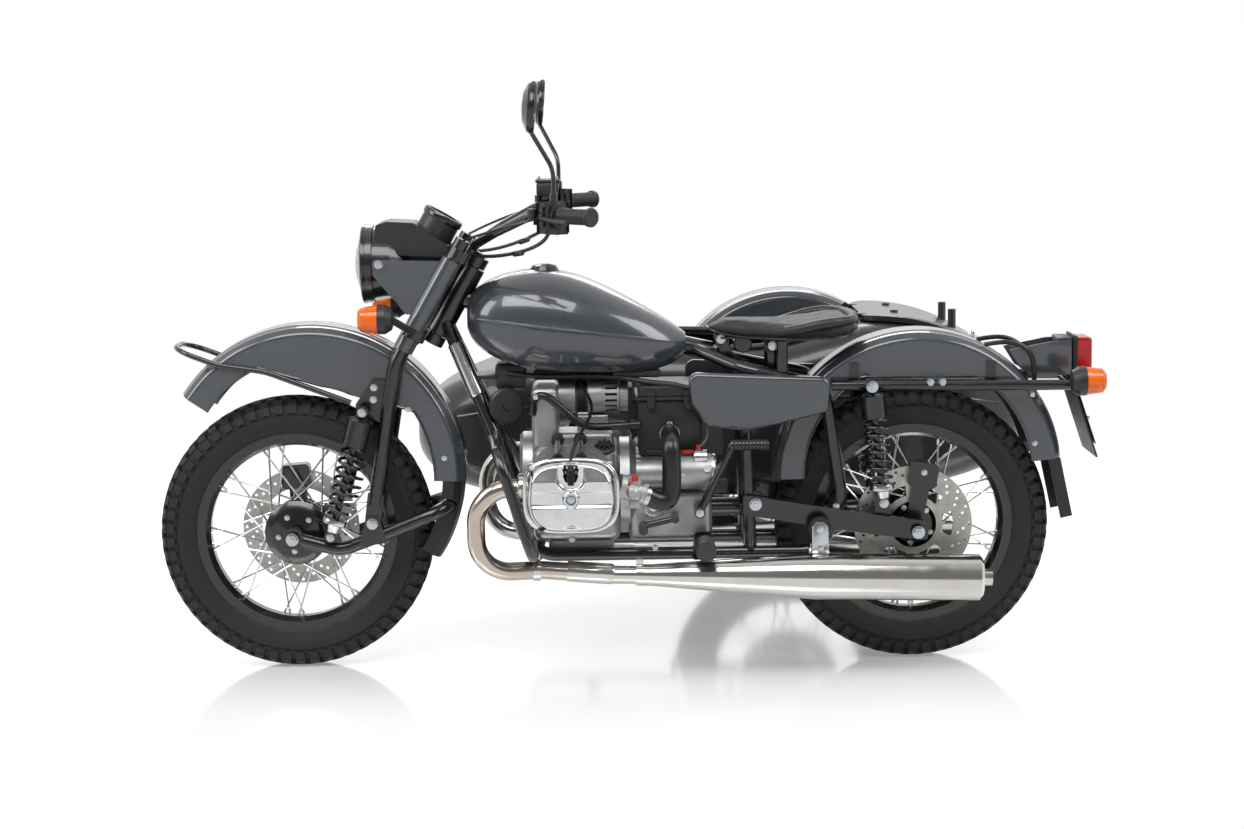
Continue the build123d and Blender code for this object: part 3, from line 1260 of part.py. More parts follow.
def make_trunk_lid():
    """Lid that follows the body's back, with two knuckles on the hinge pins and four level rack posts."""
    outer = rounded_loft(TUB_SECTIONS, TUB_Y)
    low, high = LID_GAP, LID_GAP + LID_THICKNESS
    x_low, x_high, half, corner = TRUNK
    bound = upright(x_low - LID_LAP, x_high + LID_LAP - 6, half + LID_LAP, corner + 20, 250, 700)
    lid = (bound & (Pos(0, 0, high) * outer)) - Pos(0, 0, low) * outer
    x, z = HINGE
    for side in (1, -1):
        y = TUB_Y + side * HINGE_SPREAD
        lid += rod((x, y - KNUCKLE_HALF, z), (x, y + KNUCKLE_HALF, z), KNUCKLE)
        lid += block((x - 44, y - KNUCKLE_HALF, z - 8), (x, y + KNUCKLE_HALF, z + 4))
    for side in (1, -1):
        y = TUB_Y + side * HINGE_SPREAD
        lid -= rod((x, y - 60, z), (x, y + 60, z), HINGE_PIN + RUNNING_GAP)
    rows = [(-CARRIER_ROWS / 2, CARRIER_REAR_FOOT), (CARRIER_ROWS / 2, CARRIER_FRONT_FOOT)]
    for dx, foot in rows:
        x = CARRIER_X + dx
        for y in (TUB_Y - CARRIER_COLUMNS / 2, TUB_Y + CARRIER_COLUMNS / 2):
            lid += rod((x, y, foot), (x, y, CARRIER_TOP), CARRIER_POST_RADIUS)
            lid -= rod((x, y, foot - 3 * LID_THICKNESS), (x, y, CARRIER_TOP + 1), CARRIER_HOLE_RADIUS)
    return lid


def make_sidecar_seat():
    """Bench on the floor and the sloping back in front of the bulkhead."""
    floor = TUB_SECTIONS[4][2] + TUB_WALL + SEAT_GAP
    bench_top = 140.0
    bench = block((236, TUB_Y - 214, floor), (590, TUB_Y + 214, bench_top), 26)
    low = bench_top + SEAT_GAP
    back = plate([(210, low), (306, low), (204, 424), (130, 424)], TUB_Y - 200, TUB_Y + 200, 22)
    back = fillet(back.faces().filter_by(Axis.Y).edges(), 12)
    return group(bench, back)


def make_sidecar_frame():
    """Tube loop under the body: pads, the wheel arm's cross tube, the damper's hoop and four links."""
    z, r = SIDE_FRAME_Z, 18.0
    left, right = TUB_Y + 205, TUB_Y - 205
    x_front, x_back = 1000, 60
    corners = [(SIDE_PIVOT_X - 1, left, z), (x_back, left, z), (x_back, right, z), (x_front, right, z),
               (x_front, left, z),
               (SIDE_PIVOT_X + 1, left, z)]
    body = tube(corners, r, [90.0, 90.0, 90.0, 90.0])
    pivot_end = SIDE_ARM_Y + 24
    body += rod((SIDE_PIVOT_X, left, z), (SIDE_PIVOT_X, pivot_end, z), 22)
    body += rod((SIDE_PIVOT_X, right, z), (SIDE_PIVOT_X, SIDE_ARM_Y - 18, z), 12)
    pad_top = TUB_SECTIONS[4][2] - SEAT_GAP
    for x in (300, 820):
        for y in (left, right):
            body += rod((x, y, z), (x, y, pad_top), 20)
    hoop_y = SIDE_ARM_Y + 36
    x, y, top = SIDE_SHOCK_TOP
    body += tube([(410, right, z), (410, hoop_y, z + 50), (390, hoop_y, top - 40), (x, hoop_y, top)], 12.0,
                 [30.0, 60.0])
    body += rod((x, hoop_y + 6, top), (x, y - 20, top), PIN_RADIUS)
    guard_side = -SIDECAR_TRACK + GUARD_WIDTH / 2 + SEAT_GAP
    body += block((x - 12, hoop_y - 6, top - 6), (x + 12, hoop_y + 6, top + 56))
    body += block((x - 12, guard_side, top + 46), (x + 12, hoop_y + 6, top + 56))
    # columns: start on the loop (x), end on the machine's right tubes (x, y, z)
    for start, end in ((900, (986, -102, 34)), (430, (POST_X + 3, -CRADLE_HALF_WIDTH, 6)),
                       (940, (1060, -78, 300)), (300, (LOOP_TOP_X - 34, -CRADLE_HALF_WIDTH, 130))):
        body += rod((start, left, z), end, 14)
    return body - cradle_side(-1, TUBE_RADIUS + SEAT_GAP)


def make_sidecar_swingarm():
    """Trailing arm with the stub axle of the sidecar's wheel and the lug of its damper."""
    y, z = SIDE_ARM_Y, SIDE_FRAME_Z
    low, high = y - 12, y + 12
    body = plate([(SIDE_PIVOT_X + 26, z + 26), (SIDE_PIVOT_X + 26, z - 26), (SIDECAR_LEAD - 24, -24),
                  (SIDECAR_LEAD - 24, 24)],
                 low, high, 10)
    body -= rod((SIDE_PIVOT_X, y - 40, z), (SIDE_PIVOT_X, y + 40, z), 12 + SEAT_GAP)
    body += rod((SIDECAR_LEAD, y, 0), (SIDECAR_LEAD, -SIDECAR_TRACK - HUB_HALF_WIDTH - 14, 0), AXLE_RADIUS)
    collar = -SIDECAR_TRACK + HUB_HALF_WIDTH + DISC_THICKNESS + MOVING_GAP
    body += rod((SIDECAR_LEAD, y, 0), (SIDECAR_LEAD, collar, 0), COLLAR_RADIUS)
    x, foot_y, foot_z = SIDE_SHOCK_FOOT
    lug_in = foot_y + EYE_HALF + 1
    body += plate([(x - 22, -12), (x + 22, -12), (x + 12, foot_z + 12), (x - 12, foot_z + 12)], lug_in,
                  lug_in + 10)
    body += rod((x, lug_in + 10, foot_z), (x, foot_y - 18, foot_z), PIN_RADIUS)
    return body


def make_parts():
    nodes = make_wheels()
    signal_housings, amber_lenses = make_signals()
    front_signal_housings, front_signal_lenses = make_front_signals()
    nodes.update(
        frame=make_frame(), rear_subframe=make_rear_subframe(),
        swingarm=make_swingarm(), final_drive=make_final_drive(),
        shocks=make_shocks(), calipers=make_calipers(), crankcase=make_crankcase(), gearbox=make_gearbox(),
        cylinders=make_cylinders(), cylinder_heads=make_cylinder_heads(), valve_covers=make_valve_covers(),
        alternator=make_alternator(), starter_motor=make_starter(),
        air_box=make_air_box(), intakes=make_intakes(),
        exhaust_pipes=make_exhaust_pipes(), mufflers=make_mufflers(), crash_bar=make_crash_bar(),
        foot_controls=make_foot_controls(), fuel_tank=make_fuel_tank(),
        tank_cap=make_tank_cap(), saddle=make_saddle(),
        saddle_bracket=make_saddle_bracket(), side_covers=make_side_covers(),
        fenders=make_fenders(), mud_flap=make_mud_flap(),
        tail_bracket=make_tail_bracket(), red_lenses=make_red_lenses(), signal_housings=signal_housings,
        amber_lenses=amber_lenses, sidecar_frame=make_sidecar_frame(), sidecar_tub=make_sidecar_tub(),
        sidecar_seat=make_sidecar_seat(), sidecar_swingarm=make_sidecar_swingarm(),
        trunk_lid=make_trunk_lid(),
        fork=make_fork(), fork_shrouds=make_fork_shrouds(),
        front_link=make_link(), front_shocks=make_front_shocks(),
        front_fender=make_front_fender(), front_flap=make_front_flap(), fender_guard=make_fender_guard(),
        headlamp_shell=make_headlamp_shell(), headlamp_lens=make_headlamp_lens(),
        instrument_pod=make_instrument_pod(),
        handlebar=make_handlebar(), hand_controls=make_hand_controls(), mirrors=make_mirrors(),
        front_caliper=make_front_caliper(), front_signal_housings=front_signal_housings,
        front_signal_lenses=front_signal_lenses,
    )
    return nodes


def main():
    os.makedirs("parts", exist_ok=True)
    middle_x = (WHEELBASE + TYRE_RADIUS + REAR_SIGNAL[0] - SIGNAL_DEPTH) / 2
    middle_y = (MIRROR_CENTRE[1] + MIRROR_RADIUS - SIDECAR_TRACK - GUARD_WIDTH / 2) / 2
    floor = Pos(-middle_x, -middle_y, TYRE_RADIUS)
    for name, shape in make_parts().items():
        export_step(floor * shape, f"parts/{name}.step")


main()
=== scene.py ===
"""Dresses the sidecar motorcycle: finishes, tyres, wire wheels, springs, engine trim, seats and studio."""

from __future__ import annotations

import json
import logging
import math
from dataclasses import dataclass
from enum import Enum
from typing import Callable, Iterable, Sequence

import bmesh
import bpy
from mathutils import Matrix, Vector
from mathutils.bvhtree import BVHTree

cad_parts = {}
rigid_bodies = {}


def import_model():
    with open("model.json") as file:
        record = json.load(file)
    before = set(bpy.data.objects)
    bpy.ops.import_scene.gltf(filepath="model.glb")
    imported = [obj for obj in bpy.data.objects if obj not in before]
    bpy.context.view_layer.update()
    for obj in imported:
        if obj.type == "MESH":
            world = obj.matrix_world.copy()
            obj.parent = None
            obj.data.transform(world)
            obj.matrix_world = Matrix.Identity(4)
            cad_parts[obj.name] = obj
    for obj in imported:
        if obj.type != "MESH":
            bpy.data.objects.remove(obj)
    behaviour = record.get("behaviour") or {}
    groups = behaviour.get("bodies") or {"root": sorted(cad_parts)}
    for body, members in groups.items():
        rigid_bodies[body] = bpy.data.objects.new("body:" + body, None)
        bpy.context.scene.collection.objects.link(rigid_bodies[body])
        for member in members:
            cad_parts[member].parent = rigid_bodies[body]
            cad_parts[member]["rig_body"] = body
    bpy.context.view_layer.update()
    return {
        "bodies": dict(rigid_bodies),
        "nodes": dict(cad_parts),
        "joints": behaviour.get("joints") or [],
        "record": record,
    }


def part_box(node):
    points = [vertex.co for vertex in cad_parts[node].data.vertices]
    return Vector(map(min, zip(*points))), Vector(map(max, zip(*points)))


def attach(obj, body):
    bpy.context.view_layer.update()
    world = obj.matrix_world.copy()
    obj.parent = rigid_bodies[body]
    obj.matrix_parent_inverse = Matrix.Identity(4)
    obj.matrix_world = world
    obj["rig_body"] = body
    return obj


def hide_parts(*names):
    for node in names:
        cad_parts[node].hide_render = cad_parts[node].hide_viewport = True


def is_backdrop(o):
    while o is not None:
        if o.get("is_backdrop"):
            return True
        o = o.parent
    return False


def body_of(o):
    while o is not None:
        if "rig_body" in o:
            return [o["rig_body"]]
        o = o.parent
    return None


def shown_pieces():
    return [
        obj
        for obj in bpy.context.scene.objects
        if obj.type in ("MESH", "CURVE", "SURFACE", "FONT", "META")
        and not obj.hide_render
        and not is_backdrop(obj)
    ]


log = logging.getLogger("sidecar_motorcycle")

MM = 0.001
IMAGE_SIZE = (1244, 829)
SENSOR_MM = 36.0
SPLINE_STEPS = 8
COAT_ROUGHNESS = 0.04
WHITE = (1.0, 1.0, 1.0, 1.0)

Point = tuple[float, float, float]
Profile = list[tuple[float, float]]


class Body(Enum):
    """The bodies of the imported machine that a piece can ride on."""

    CHASSIS = "chassis"
    STEERING = "steering"
    FRONT_WHEEL = "front_wheel"
    REAR_WHEEL = "rear_wheel"
    SIDECAR_WHEEL = "sidecar_wheel"
    TRUNK_LID = "trunk_lid"


class Grain(Enum):
    """How a surface was made, which decides the pattern of its small relief."""

    SMOOTH = "smooth"
    CAST = "cast"
    BRUSHED = "brushed"
    HIDE = "hide"
    MOULDED = "moulded"


def linear(hex_colour: str) -> tuple[float, float, float, float]:
    """Turns an sRGB hex colour into linear light.

    Args:
        hex_colour: Six hex digits, with or without a leading hash.

    Returns:
        Red, green, blue and an alpha of 1.
    """
    digits = hex_colour.lstrip("#")
    parts = [int(digits[i:i + 2], 16) / 255 for i in (0, 2, 4)]
    light = [p / 12.92 if p <= 0.04045 else ((p + 0.055) / 1.055) ** 2.4 for p in parts]
    return (*light, 1.0)


def per_mm(size_mm: float) -> float:
    """Gives the texture scale whose features are that many millimetres wide."""
    return 1 / (size_mm * MM)


def add_node(tree: bpy.types.NodeTree, kind: str, settings: dict | None = None, inputs: dict | None = None):
    """Adds one node with its settings and links.

    Args:
        tree: The shader or geometry tree.
        kind: The node's type name.
        settings: Attributes to set on the node.
        inputs: A value or another node's output for each input, by name or number.

    Returns:
        The new node.
    """
    made = tree.nodes.new(kind)
    for key, value in (settings or {}).items():
        setattr(made, key, value)
    for key, value in (inputs or {}).items():
        if isinstance(value, bpy.types.NodeSocket):
            tree.links.new(value, made.inputs[key])
        else:
            made.inputs[key].default_value = value
    return made


def blend(tree: bpy.types.NodeTree, operation: str, first: bpy.types.NodeSocket,
          second: bpy.types.NodeSocket | float) -> bpy.types.NodeSocket:
    """Adds a math node on an output and a second output or number, and gives its result."""
    return add_node(tree, "ShaderNodeMath", {"operation": operation}, {0: first, 1: second}).outputs[0]


def ramp(tree: bpy.types.NodeTree, value: bpy.types.NodeSocket, start: float, end: float, low: float = 0.0,
         high: float = 1.0) -> bpy.types.NodeSocket:
    """Adds a smooth ramp, from low where the value is start to high where it is end, and gives its result."""
    return add_node(tree, "ShaderNodeMapRange", {"interpolation_type": "SMOOTHSTEP"}, {
        "Value": value, "From Min": start, "From Max": end, "To Min": low, "To Max": high}).outputs["Result"]


def squared(angle: float, power: float) -> tuple[float, float]:
    """Gives an angle's cosine and sine, drawn out towards a rounded square by a power under 1."""
    c, s = math.cos(angle), math.sin(angle)
    return math.copysign(abs(c) ** power, c), math.copysign(abs(s) ** power, s)


@dataclass(frozen=True)
class Finish:
    """One real surface: its material, how it was made and what the eye sees of it.

    The colour drifts between two near shades in soft patches, the gloss varies a little with it, and
    the grain gives the small relief. Sizes of patterns are in millimetres.
    """

    name: str
    slot: str
    colour: str
    shade: str
    roughness: float
    gloss_swing: float = 0.06
    patch_mm: float = 60.0
    metallic: float = 0.0
    coat: float = 0.0
    grain: Grain = Grain.SMOOTH
    grain_mm: float = 3.0
    relief_mm: float = 0.02
    brush_axis: Point = (1.0, 1.0, 1.0)
    transmission: float = 0.0
    ior: float = 1.5
    sheen: float = 0.0
    specular: float = 0.5

    def material(self) -> bpy.types.Material:
        """Gives the finish's material, made the first time it is asked for."""
        known = bpy.data.materials.get(self.name)
        return known or self.build()

    def build(self) -> bpy.types.Material:
        """Builds the node material.

        Returns:
            The new material.
        """
        material = bpy.data.materials.new(self.name)
        material.use_nodes = True
        tree = material.node_tree
        tree.nodes.clear()
        where = add_node(tree, "ShaderNodeTexCoord").outputs["Object"]
        patches = add_node(tree, "ShaderNodeTexNoise", None,
                           {"Vector": where, "Scale": per_mm(self.patch_mm), "Detail": 4.0})
        tone = self.tone(tree, where, patches.outputs["Fac"])
        gloss = add_node(tree, "ShaderNodeMapRange", None, {
            "Value": patches.outputs["Fac"], "From Min": 0.3, "From Max": 0.7,
            "To Min": self.roughness - self.gloss_swing / 2, "To Max": self.roughness + self.gloss_swing / 2})
        shader = add_node(tree, "ShaderNodeBsdfPrincipled", None, {
            "Base Color": tone, "Roughness": gloss.outputs["Result"], "Metallic": self.metallic,
            "Coat Weight": self.coat, "Coat Roughness": COAT_ROUGHNESS, "Transmission Weight": self.transmission,
            "IOR": self.ior, "Sheen Weight": self.sheen, "Specular IOR Level": self.specular})
        if self.grain is not Grain.SMOOTH:
            relief = add_node(tree, "ShaderNodeBump", None, {
                "Height": self.height(tree, where), "Strength": 1.0, "Distance": self.relief_mm * MM})
            tree.links.new(relief.outputs["Normal"], shader.inputs["Normal"])
        out = add_node(tree, "ShaderNodeOutputMaterial")
        tree.links.new(shader.outputs[0], out.inputs["Surface"])
        material.diffuse_color = linear(self.colour)
        return material

    def tone(self, tree: bpy.types.NodeTree, where: bpy.types.NodeSocket,
             patches: bpy.types.NodeSocket) -> bpy.types.NodeSocket:
        """Gives the colour that drifts between the two shades.

        Args:
            tree: The material's node tree.
            where: The place on the machine; not used by the plain tone.
            patches: The soft patches' factor.

        Returns:
            The colour output.
        """
        mix = add_node(tree, "ShaderNodeMix", {"data_type": "RGBA"},
                       {0: patches, 6: linear(self.colour), 7: linear(self.shade)})
        return mix.outputs[2]

    def height(self, tree: bpy.types.NodeTree, where: bpy.types.NodeSocket) -> bpy.types.NodeSocket:
        """Gives the height pattern of the grain.

        Args:
            tree: The material's node tree.
            where: The place on the machine.

        Returns:
            The height output.
        """
        if self.grain is Grain.HIDE:
            cells = add_node(tree, "ShaderNodeTexVoronoi", {"feature": "F1"},
                             {"Vector": where, "Scale": per_mm(self.grain_mm), "Randomness": 0.9})
            return cells.outputs["Distance"]
        scale = tuple(self.brush_axis) if self.grain is Grain.BRUSHED else (1.0, 1.0, 1.0)
        mapped = add_node(tree, "ShaderNodeMapping", None, {"Vector": where, "Scale": scale})
        detail = 2.0 if self.grain is Grain.MOULDED else 6.0
        noise = add_node(tree, "ShaderNodeTexNoise", None, {
            "Vector": mapped.outputs["Vector"], "Scale": per_mm(self.grain_mm), "Detail": detail})
        return noise.outputs["Fac"]


@dataclass(frozen=True)
class HeatTint(Finish):
    """Bright steel tube that the exhaust heat has turned straw and bronze near the engine."""

    tint: str = "B08A55"
    hot: Point = (0.0, 0.0, 0.0)
    reach_mm: float = 330.0
    core: float = 0.35
    strength: float = 0.32

    def tone(self, tree: bpy.types.NodeTree, where: bpy.types.NodeSocket,
             patches: bpy.types.NodeSocket) -> bpy.types.NodeSocket:
        """Gives the steel's colour with the tint fading away from the hot end.

        Args:
            tree: The material's node tree.
            where: The place on the machine.
            patches: The soft patches' factor.

        Returns:
            The colour output.
        """
        plain = super().tone(tree, where, patches)
        far = add_node(tree, "ShaderNodeVectorMath", {"operation": "DISTANCE"}, {0: where, 1: self.hot})
        reach = self.reach_mm * MM
        fade = ramp(tree, far.outputs["Value"], reach * self.core, reach, self.strength, 0.0)
        mix = add_node(tree, "ShaderNodeMix", {"data_type": "RGBA"}, {0: fade, 6: plain, 7: linear(self.tint)})
        return mix.outputs[2]


# Stoved enamel over primer: deep gloss, a clear wet highlight and a faint orange peel.
GREY_ENAMEL = Finish("slate_grey_enamel", "grey_paint", "363A3F", "33373C", 0.28, coat=0.9, patch_mm=180.0,
                     grain=Grain.MOULDED, grain_mm=4.0, relief_mm=0.012)
# Black powder coat on tubes and castings: dark, glossy, with a soft ripple.
BLACK_ENAMEL = Finish("black_powder_coat", "black_paint", "0B0B0C", "101012", 0.26, coat=0.5, patch_mm=90.0,
                      grain=Grain.MOULDED, grain_mm=3.0, relief_mm=0.02)
# Sand-cast alloy, bead blasted: pale satin grey with a fine gritty skin.
CAST_ALLOY = Finish("sand_cast_aluminium", "cast_aluminium", "B4B5B4", "9A9B9A", 0.44, metallic=0.85, patch_mm=45.0,
                    gloss_swing=0.16, grain=Grain.CAST, grain_mm=1.6, relief_mm=0.10)
# Machined and buffed alloy: bright, with the drag marks of the wheel along the machine.
POLISHED_ALLOY = Finish("buffed_aluminium", "polished_aluminium", "DADBDC", "C9CACC", 0.20, metallic=1.0,
                        gloss_swing=0.10, patch_mm=30.0, grain=Grain.BRUSHED, grain_mm=1.2, relief_mm=0.012,
                        brush_axis=(0.05, 1.0, 1.0))
# Drawn stainless tube, polished after bending: long, slightly warm reflections.
STAINLESS = Finish("polished_stainless_steel", "stainless", "D3D1CD", "C1BEB9", 0.16, metallic=1.0,
                   gloss_swing=0.10, patch_mm=70.0, grain=Grain.BRUSHED, grain_mm=1.5, relief_mm=0.006,
                   brush_axis=(1.0, 0.2, 0.2))
# Zinc-plated steel of bolts, clamps and pushrod tubes: bright with a cool, slightly milky cast.
ZINC = Finish("bright_zinc_plate", "bolt_steel", "C3C8CC", "BBC0C5", 0.24, metallic=1.0, patch_mm=20.0,
              gloss_swing=0.08, grain=Grain.CAST, grain_mm=0.9, relief_mm=0.01)
# Drawn wire: smooth bright steel, so that each spoke reads as one thin clear line.
SPOKE_WIRE = Finish("drawn_spoke_wire", "spoke_steel", "D9DBDD", "C2C6CA", 0.22, metallic=1.0, patch_mm=20.0)
# Ground brake disc: steel turned on its face, so the light runs in a soft ring.
DISC_STEEL = Finish("ground_brake_steel", "spoke_steel", "B9B7B2", "A3A09A", 0.34, metallic=1.0, patch_mm=14.0,
                    gloss_swing=0.16, grain=Grain.BRUSHED, grain_mm=1.4, relief_mm=0.02, brush_axis=(1.0, 0.1, 1.0))
# Vulcanised tread rubber: near black with a grey bloom and no clear highlight.
TYRE_RUBBER = Finish("vulcanised_tyre_rubber", "tyre_rubber", "141516", "1E1F20", 0.66, patch_mm=24.0,
                     gloss_swing=0.18, grain=Grain.CAST, grain_mm=2.2, relief_mm=0.10, specular=0.4)
# Moulded rubber of flaps, grips and bushes: black, faintly rippled, with a soft satin light.
RUBBER = Finish("moulded_black_rubber", "rubber", "131314", "1A1A1B", 0.46, patch_mm=40.0, gloss_swing=0.14,
                grain=Grain.MOULDED, grain_mm=1.8, relief_mm=0.05)
# Smooth hose rubber: extruded, so it keeps a long soft shine.
HOSE_RUBBER = Finish("extruded_hose_rubber", "rubber", "0F0F10", "151516", 0.28, patch_mm=60.0)
# Grained plastic: dark, even and half matt, with a fine gritty skin.
BLACK_PLASTIC = Finish("grained_black_abs", "black_plastic", "161718", "1D1E20", 0.42, patch_mm=30.0,
                       grain=Grain.CAST, grain_mm=1.2, relief_mm=0.05)
# Waxed saddle hide: black, pebbled, with a dull sheen where it is rubbed.
HIDE = Finish("waxed_black_hide", "leather", "121111", "1A1918", 0.62, gloss_swing=0.2, patch_mm=35.0,
              grain=Grain.HIDE, grain_mm=2.6, relief_mm=0.22, sheen=0.05)
# Pressed glass: clear, with a faint green cast.
LAMP_GLASS = Finish("pressed_lamp_glass", "clear_glass", "EDF4F2", "E2EFEC", 0.06, transmission=0.95, ior=1.5)
# Injection-moulded lens: tinted right through, with a glossy outer skin.
AMBER_LENS = Finish("amber_acrylic_lens", "amber_lens", "F2760A", "E56300", 0.14, transmission=0.35, ior=1.49,
                    grain=Grain.BRUSHED, grain_mm=3.5, relief_mm=0.25, brush_axis=(0.02, 1.0, 1.0))
# The same moulding in deep red, with fine upright flutes.
RED_LENS = Finish("red_acrylic_lens", "red_lens", "B5101A", "960B14", 0.14, transmission=0.3, ior=1.49,
                  grain=Grain.BRUSHED, grain_mm=3.5, relief_mm=0.25, brush_axis=(1.0, 1.0, 0.02))
# The sidecar body's grey enamel, painted darker, near black, as painted shade for the bike's shadow it sits in; with a
# softer shine than the grey.
SIDECAR_ENAMEL_PAINTED_SHADE = Finish("graphite_enamel", "grey_paint", "1C1E21", "191B1E", 0.36, coat=0.35, patch_mm=180.0,
                         grain=Grain.MOULDED, grain_mm=4.0, relief_mm=0.012)
# Header tube that has been hot: bright steel that turns straw and bronze towards the port.
HOT_STEEL = HeatTint("heat_tinted_stainless_steel", "stainless", "D3D1CD", "C1BEB9", 0.18, metallic=1.0,
                     gloss_swing=0.10, patch_mm=70.0, tint="9A7440", hot=(0.345, 0.68, 0.42), reach_mm=420.0)
# Smooth rolled hide of edges and piping, polished by use.
SMOOTH_HIDE = Finish("smooth_black_hide", "leather", "131212", "1B1A19", 0.46, gloss_swing=0.16, patch_mm=30.0,
                     grain=Grain.HIDE, grain_mm=1.8, relief_mm=0.06)
# Enamelled copper wire: warm, dark and glossy.
COPPER = Finish("enamelled_copper_wire", "bolt_steel", "8A4A26", "5E2F18", 0.32, metallic=1.0, patch_mm=4.0)
# Soft red vinyl of the terminal boots: warm red and half matt.
RED_BOOT = Finish("red_vinyl", "red_lens", "B3231C", "8F1A15", 0.42, patch_mm=9.0, grain=Grain.MOULDED, grain_mm=1.5,
                  relief_mm=0.03)
# Tan cable sheath: a thin warm line among the black parts.
BARE_CABLE = Finish("tan_cable_sheath", "rubber", "6E5A3C", "57472F", 0.5, patch_mm=12.0, grain=Grain.MOULDED,
                    grain_mm=1.2, relief_mm=0.04)
# Printed marks on the instrument: off-white and half matt.
GAUGE_WHITE = Finish("white_gauge_print", "clear_glass", "E8E8E2", "DCDCD4", 0.45, patch_mm=10.0)
# Silvered glass and lamp bowl: a clean, slightly cool reflection.
MIRROR_SILVER = Finish("silvered_mirror", "mirror_case", "D3D7DA", "CED2D6", 0.03, gloss_swing=0.01, metallic=1.0)
# Gloss plastic of rims and cases: black with a small hard highlight.
GLOSS_PLASTIC = Finish("gloss_black_abs", "mirror_case", "0C0C0D", "111112", 0.22, coat=0.3, patch_mm=50.0)


@dataclass
class Bench:
    """Turns drawing millimetres, measured from the rear axle, into the frame's metres."""

    origin: Vector

    @classmethod
    def from_frame(cls) -> Bench:
        """Finds the rear axle in the middle of the rear tyre."""
        low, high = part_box("rear_tyre")
        return cls((low + high) / 2)

    def at(self, point: Iterable[float]) -> Vector:
        """Gives a drawing point's place in the frame."""
        return self.origin + Vector(point) * MM

    def drawn(self, point: Vector) -> Vector:
        """Gives a frame point in drawing millimetres."""
        return (point - self.origin) / MM

    def middle(self, node: str) -> Vector:
        """Gives the middle of a node's box in drawing millimetres."""
        low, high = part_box(node)
        return self.drawn((low + high) / 2)


def across(axis: Vector) -> tuple[Vector, Vector]:
    """Gives two directions square to an axis and to each other.

    Args:
        axis: A direction of any length.

    Returns:
        The two unit directions.
    """
    along = axis.normalized()
    helper = Vector((0, 0, 1)) if abs(along.z) < 0.9 else Vector((1, 0, 0))
    first = helper.cross(along).normalized()
    return first, along.cross(first)


def turned(axis: Vector, angle: float) -> Matrix:
    """Gives the rotation that stands a shape up along an axis and turns it about the axis by an angle."""
    u, v = across(axis)
    c, s = math.cos(angle), math.sin(angle)
    return Matrix((u * c + v * s, v * c - u * s, axis.normalized())).transposed()


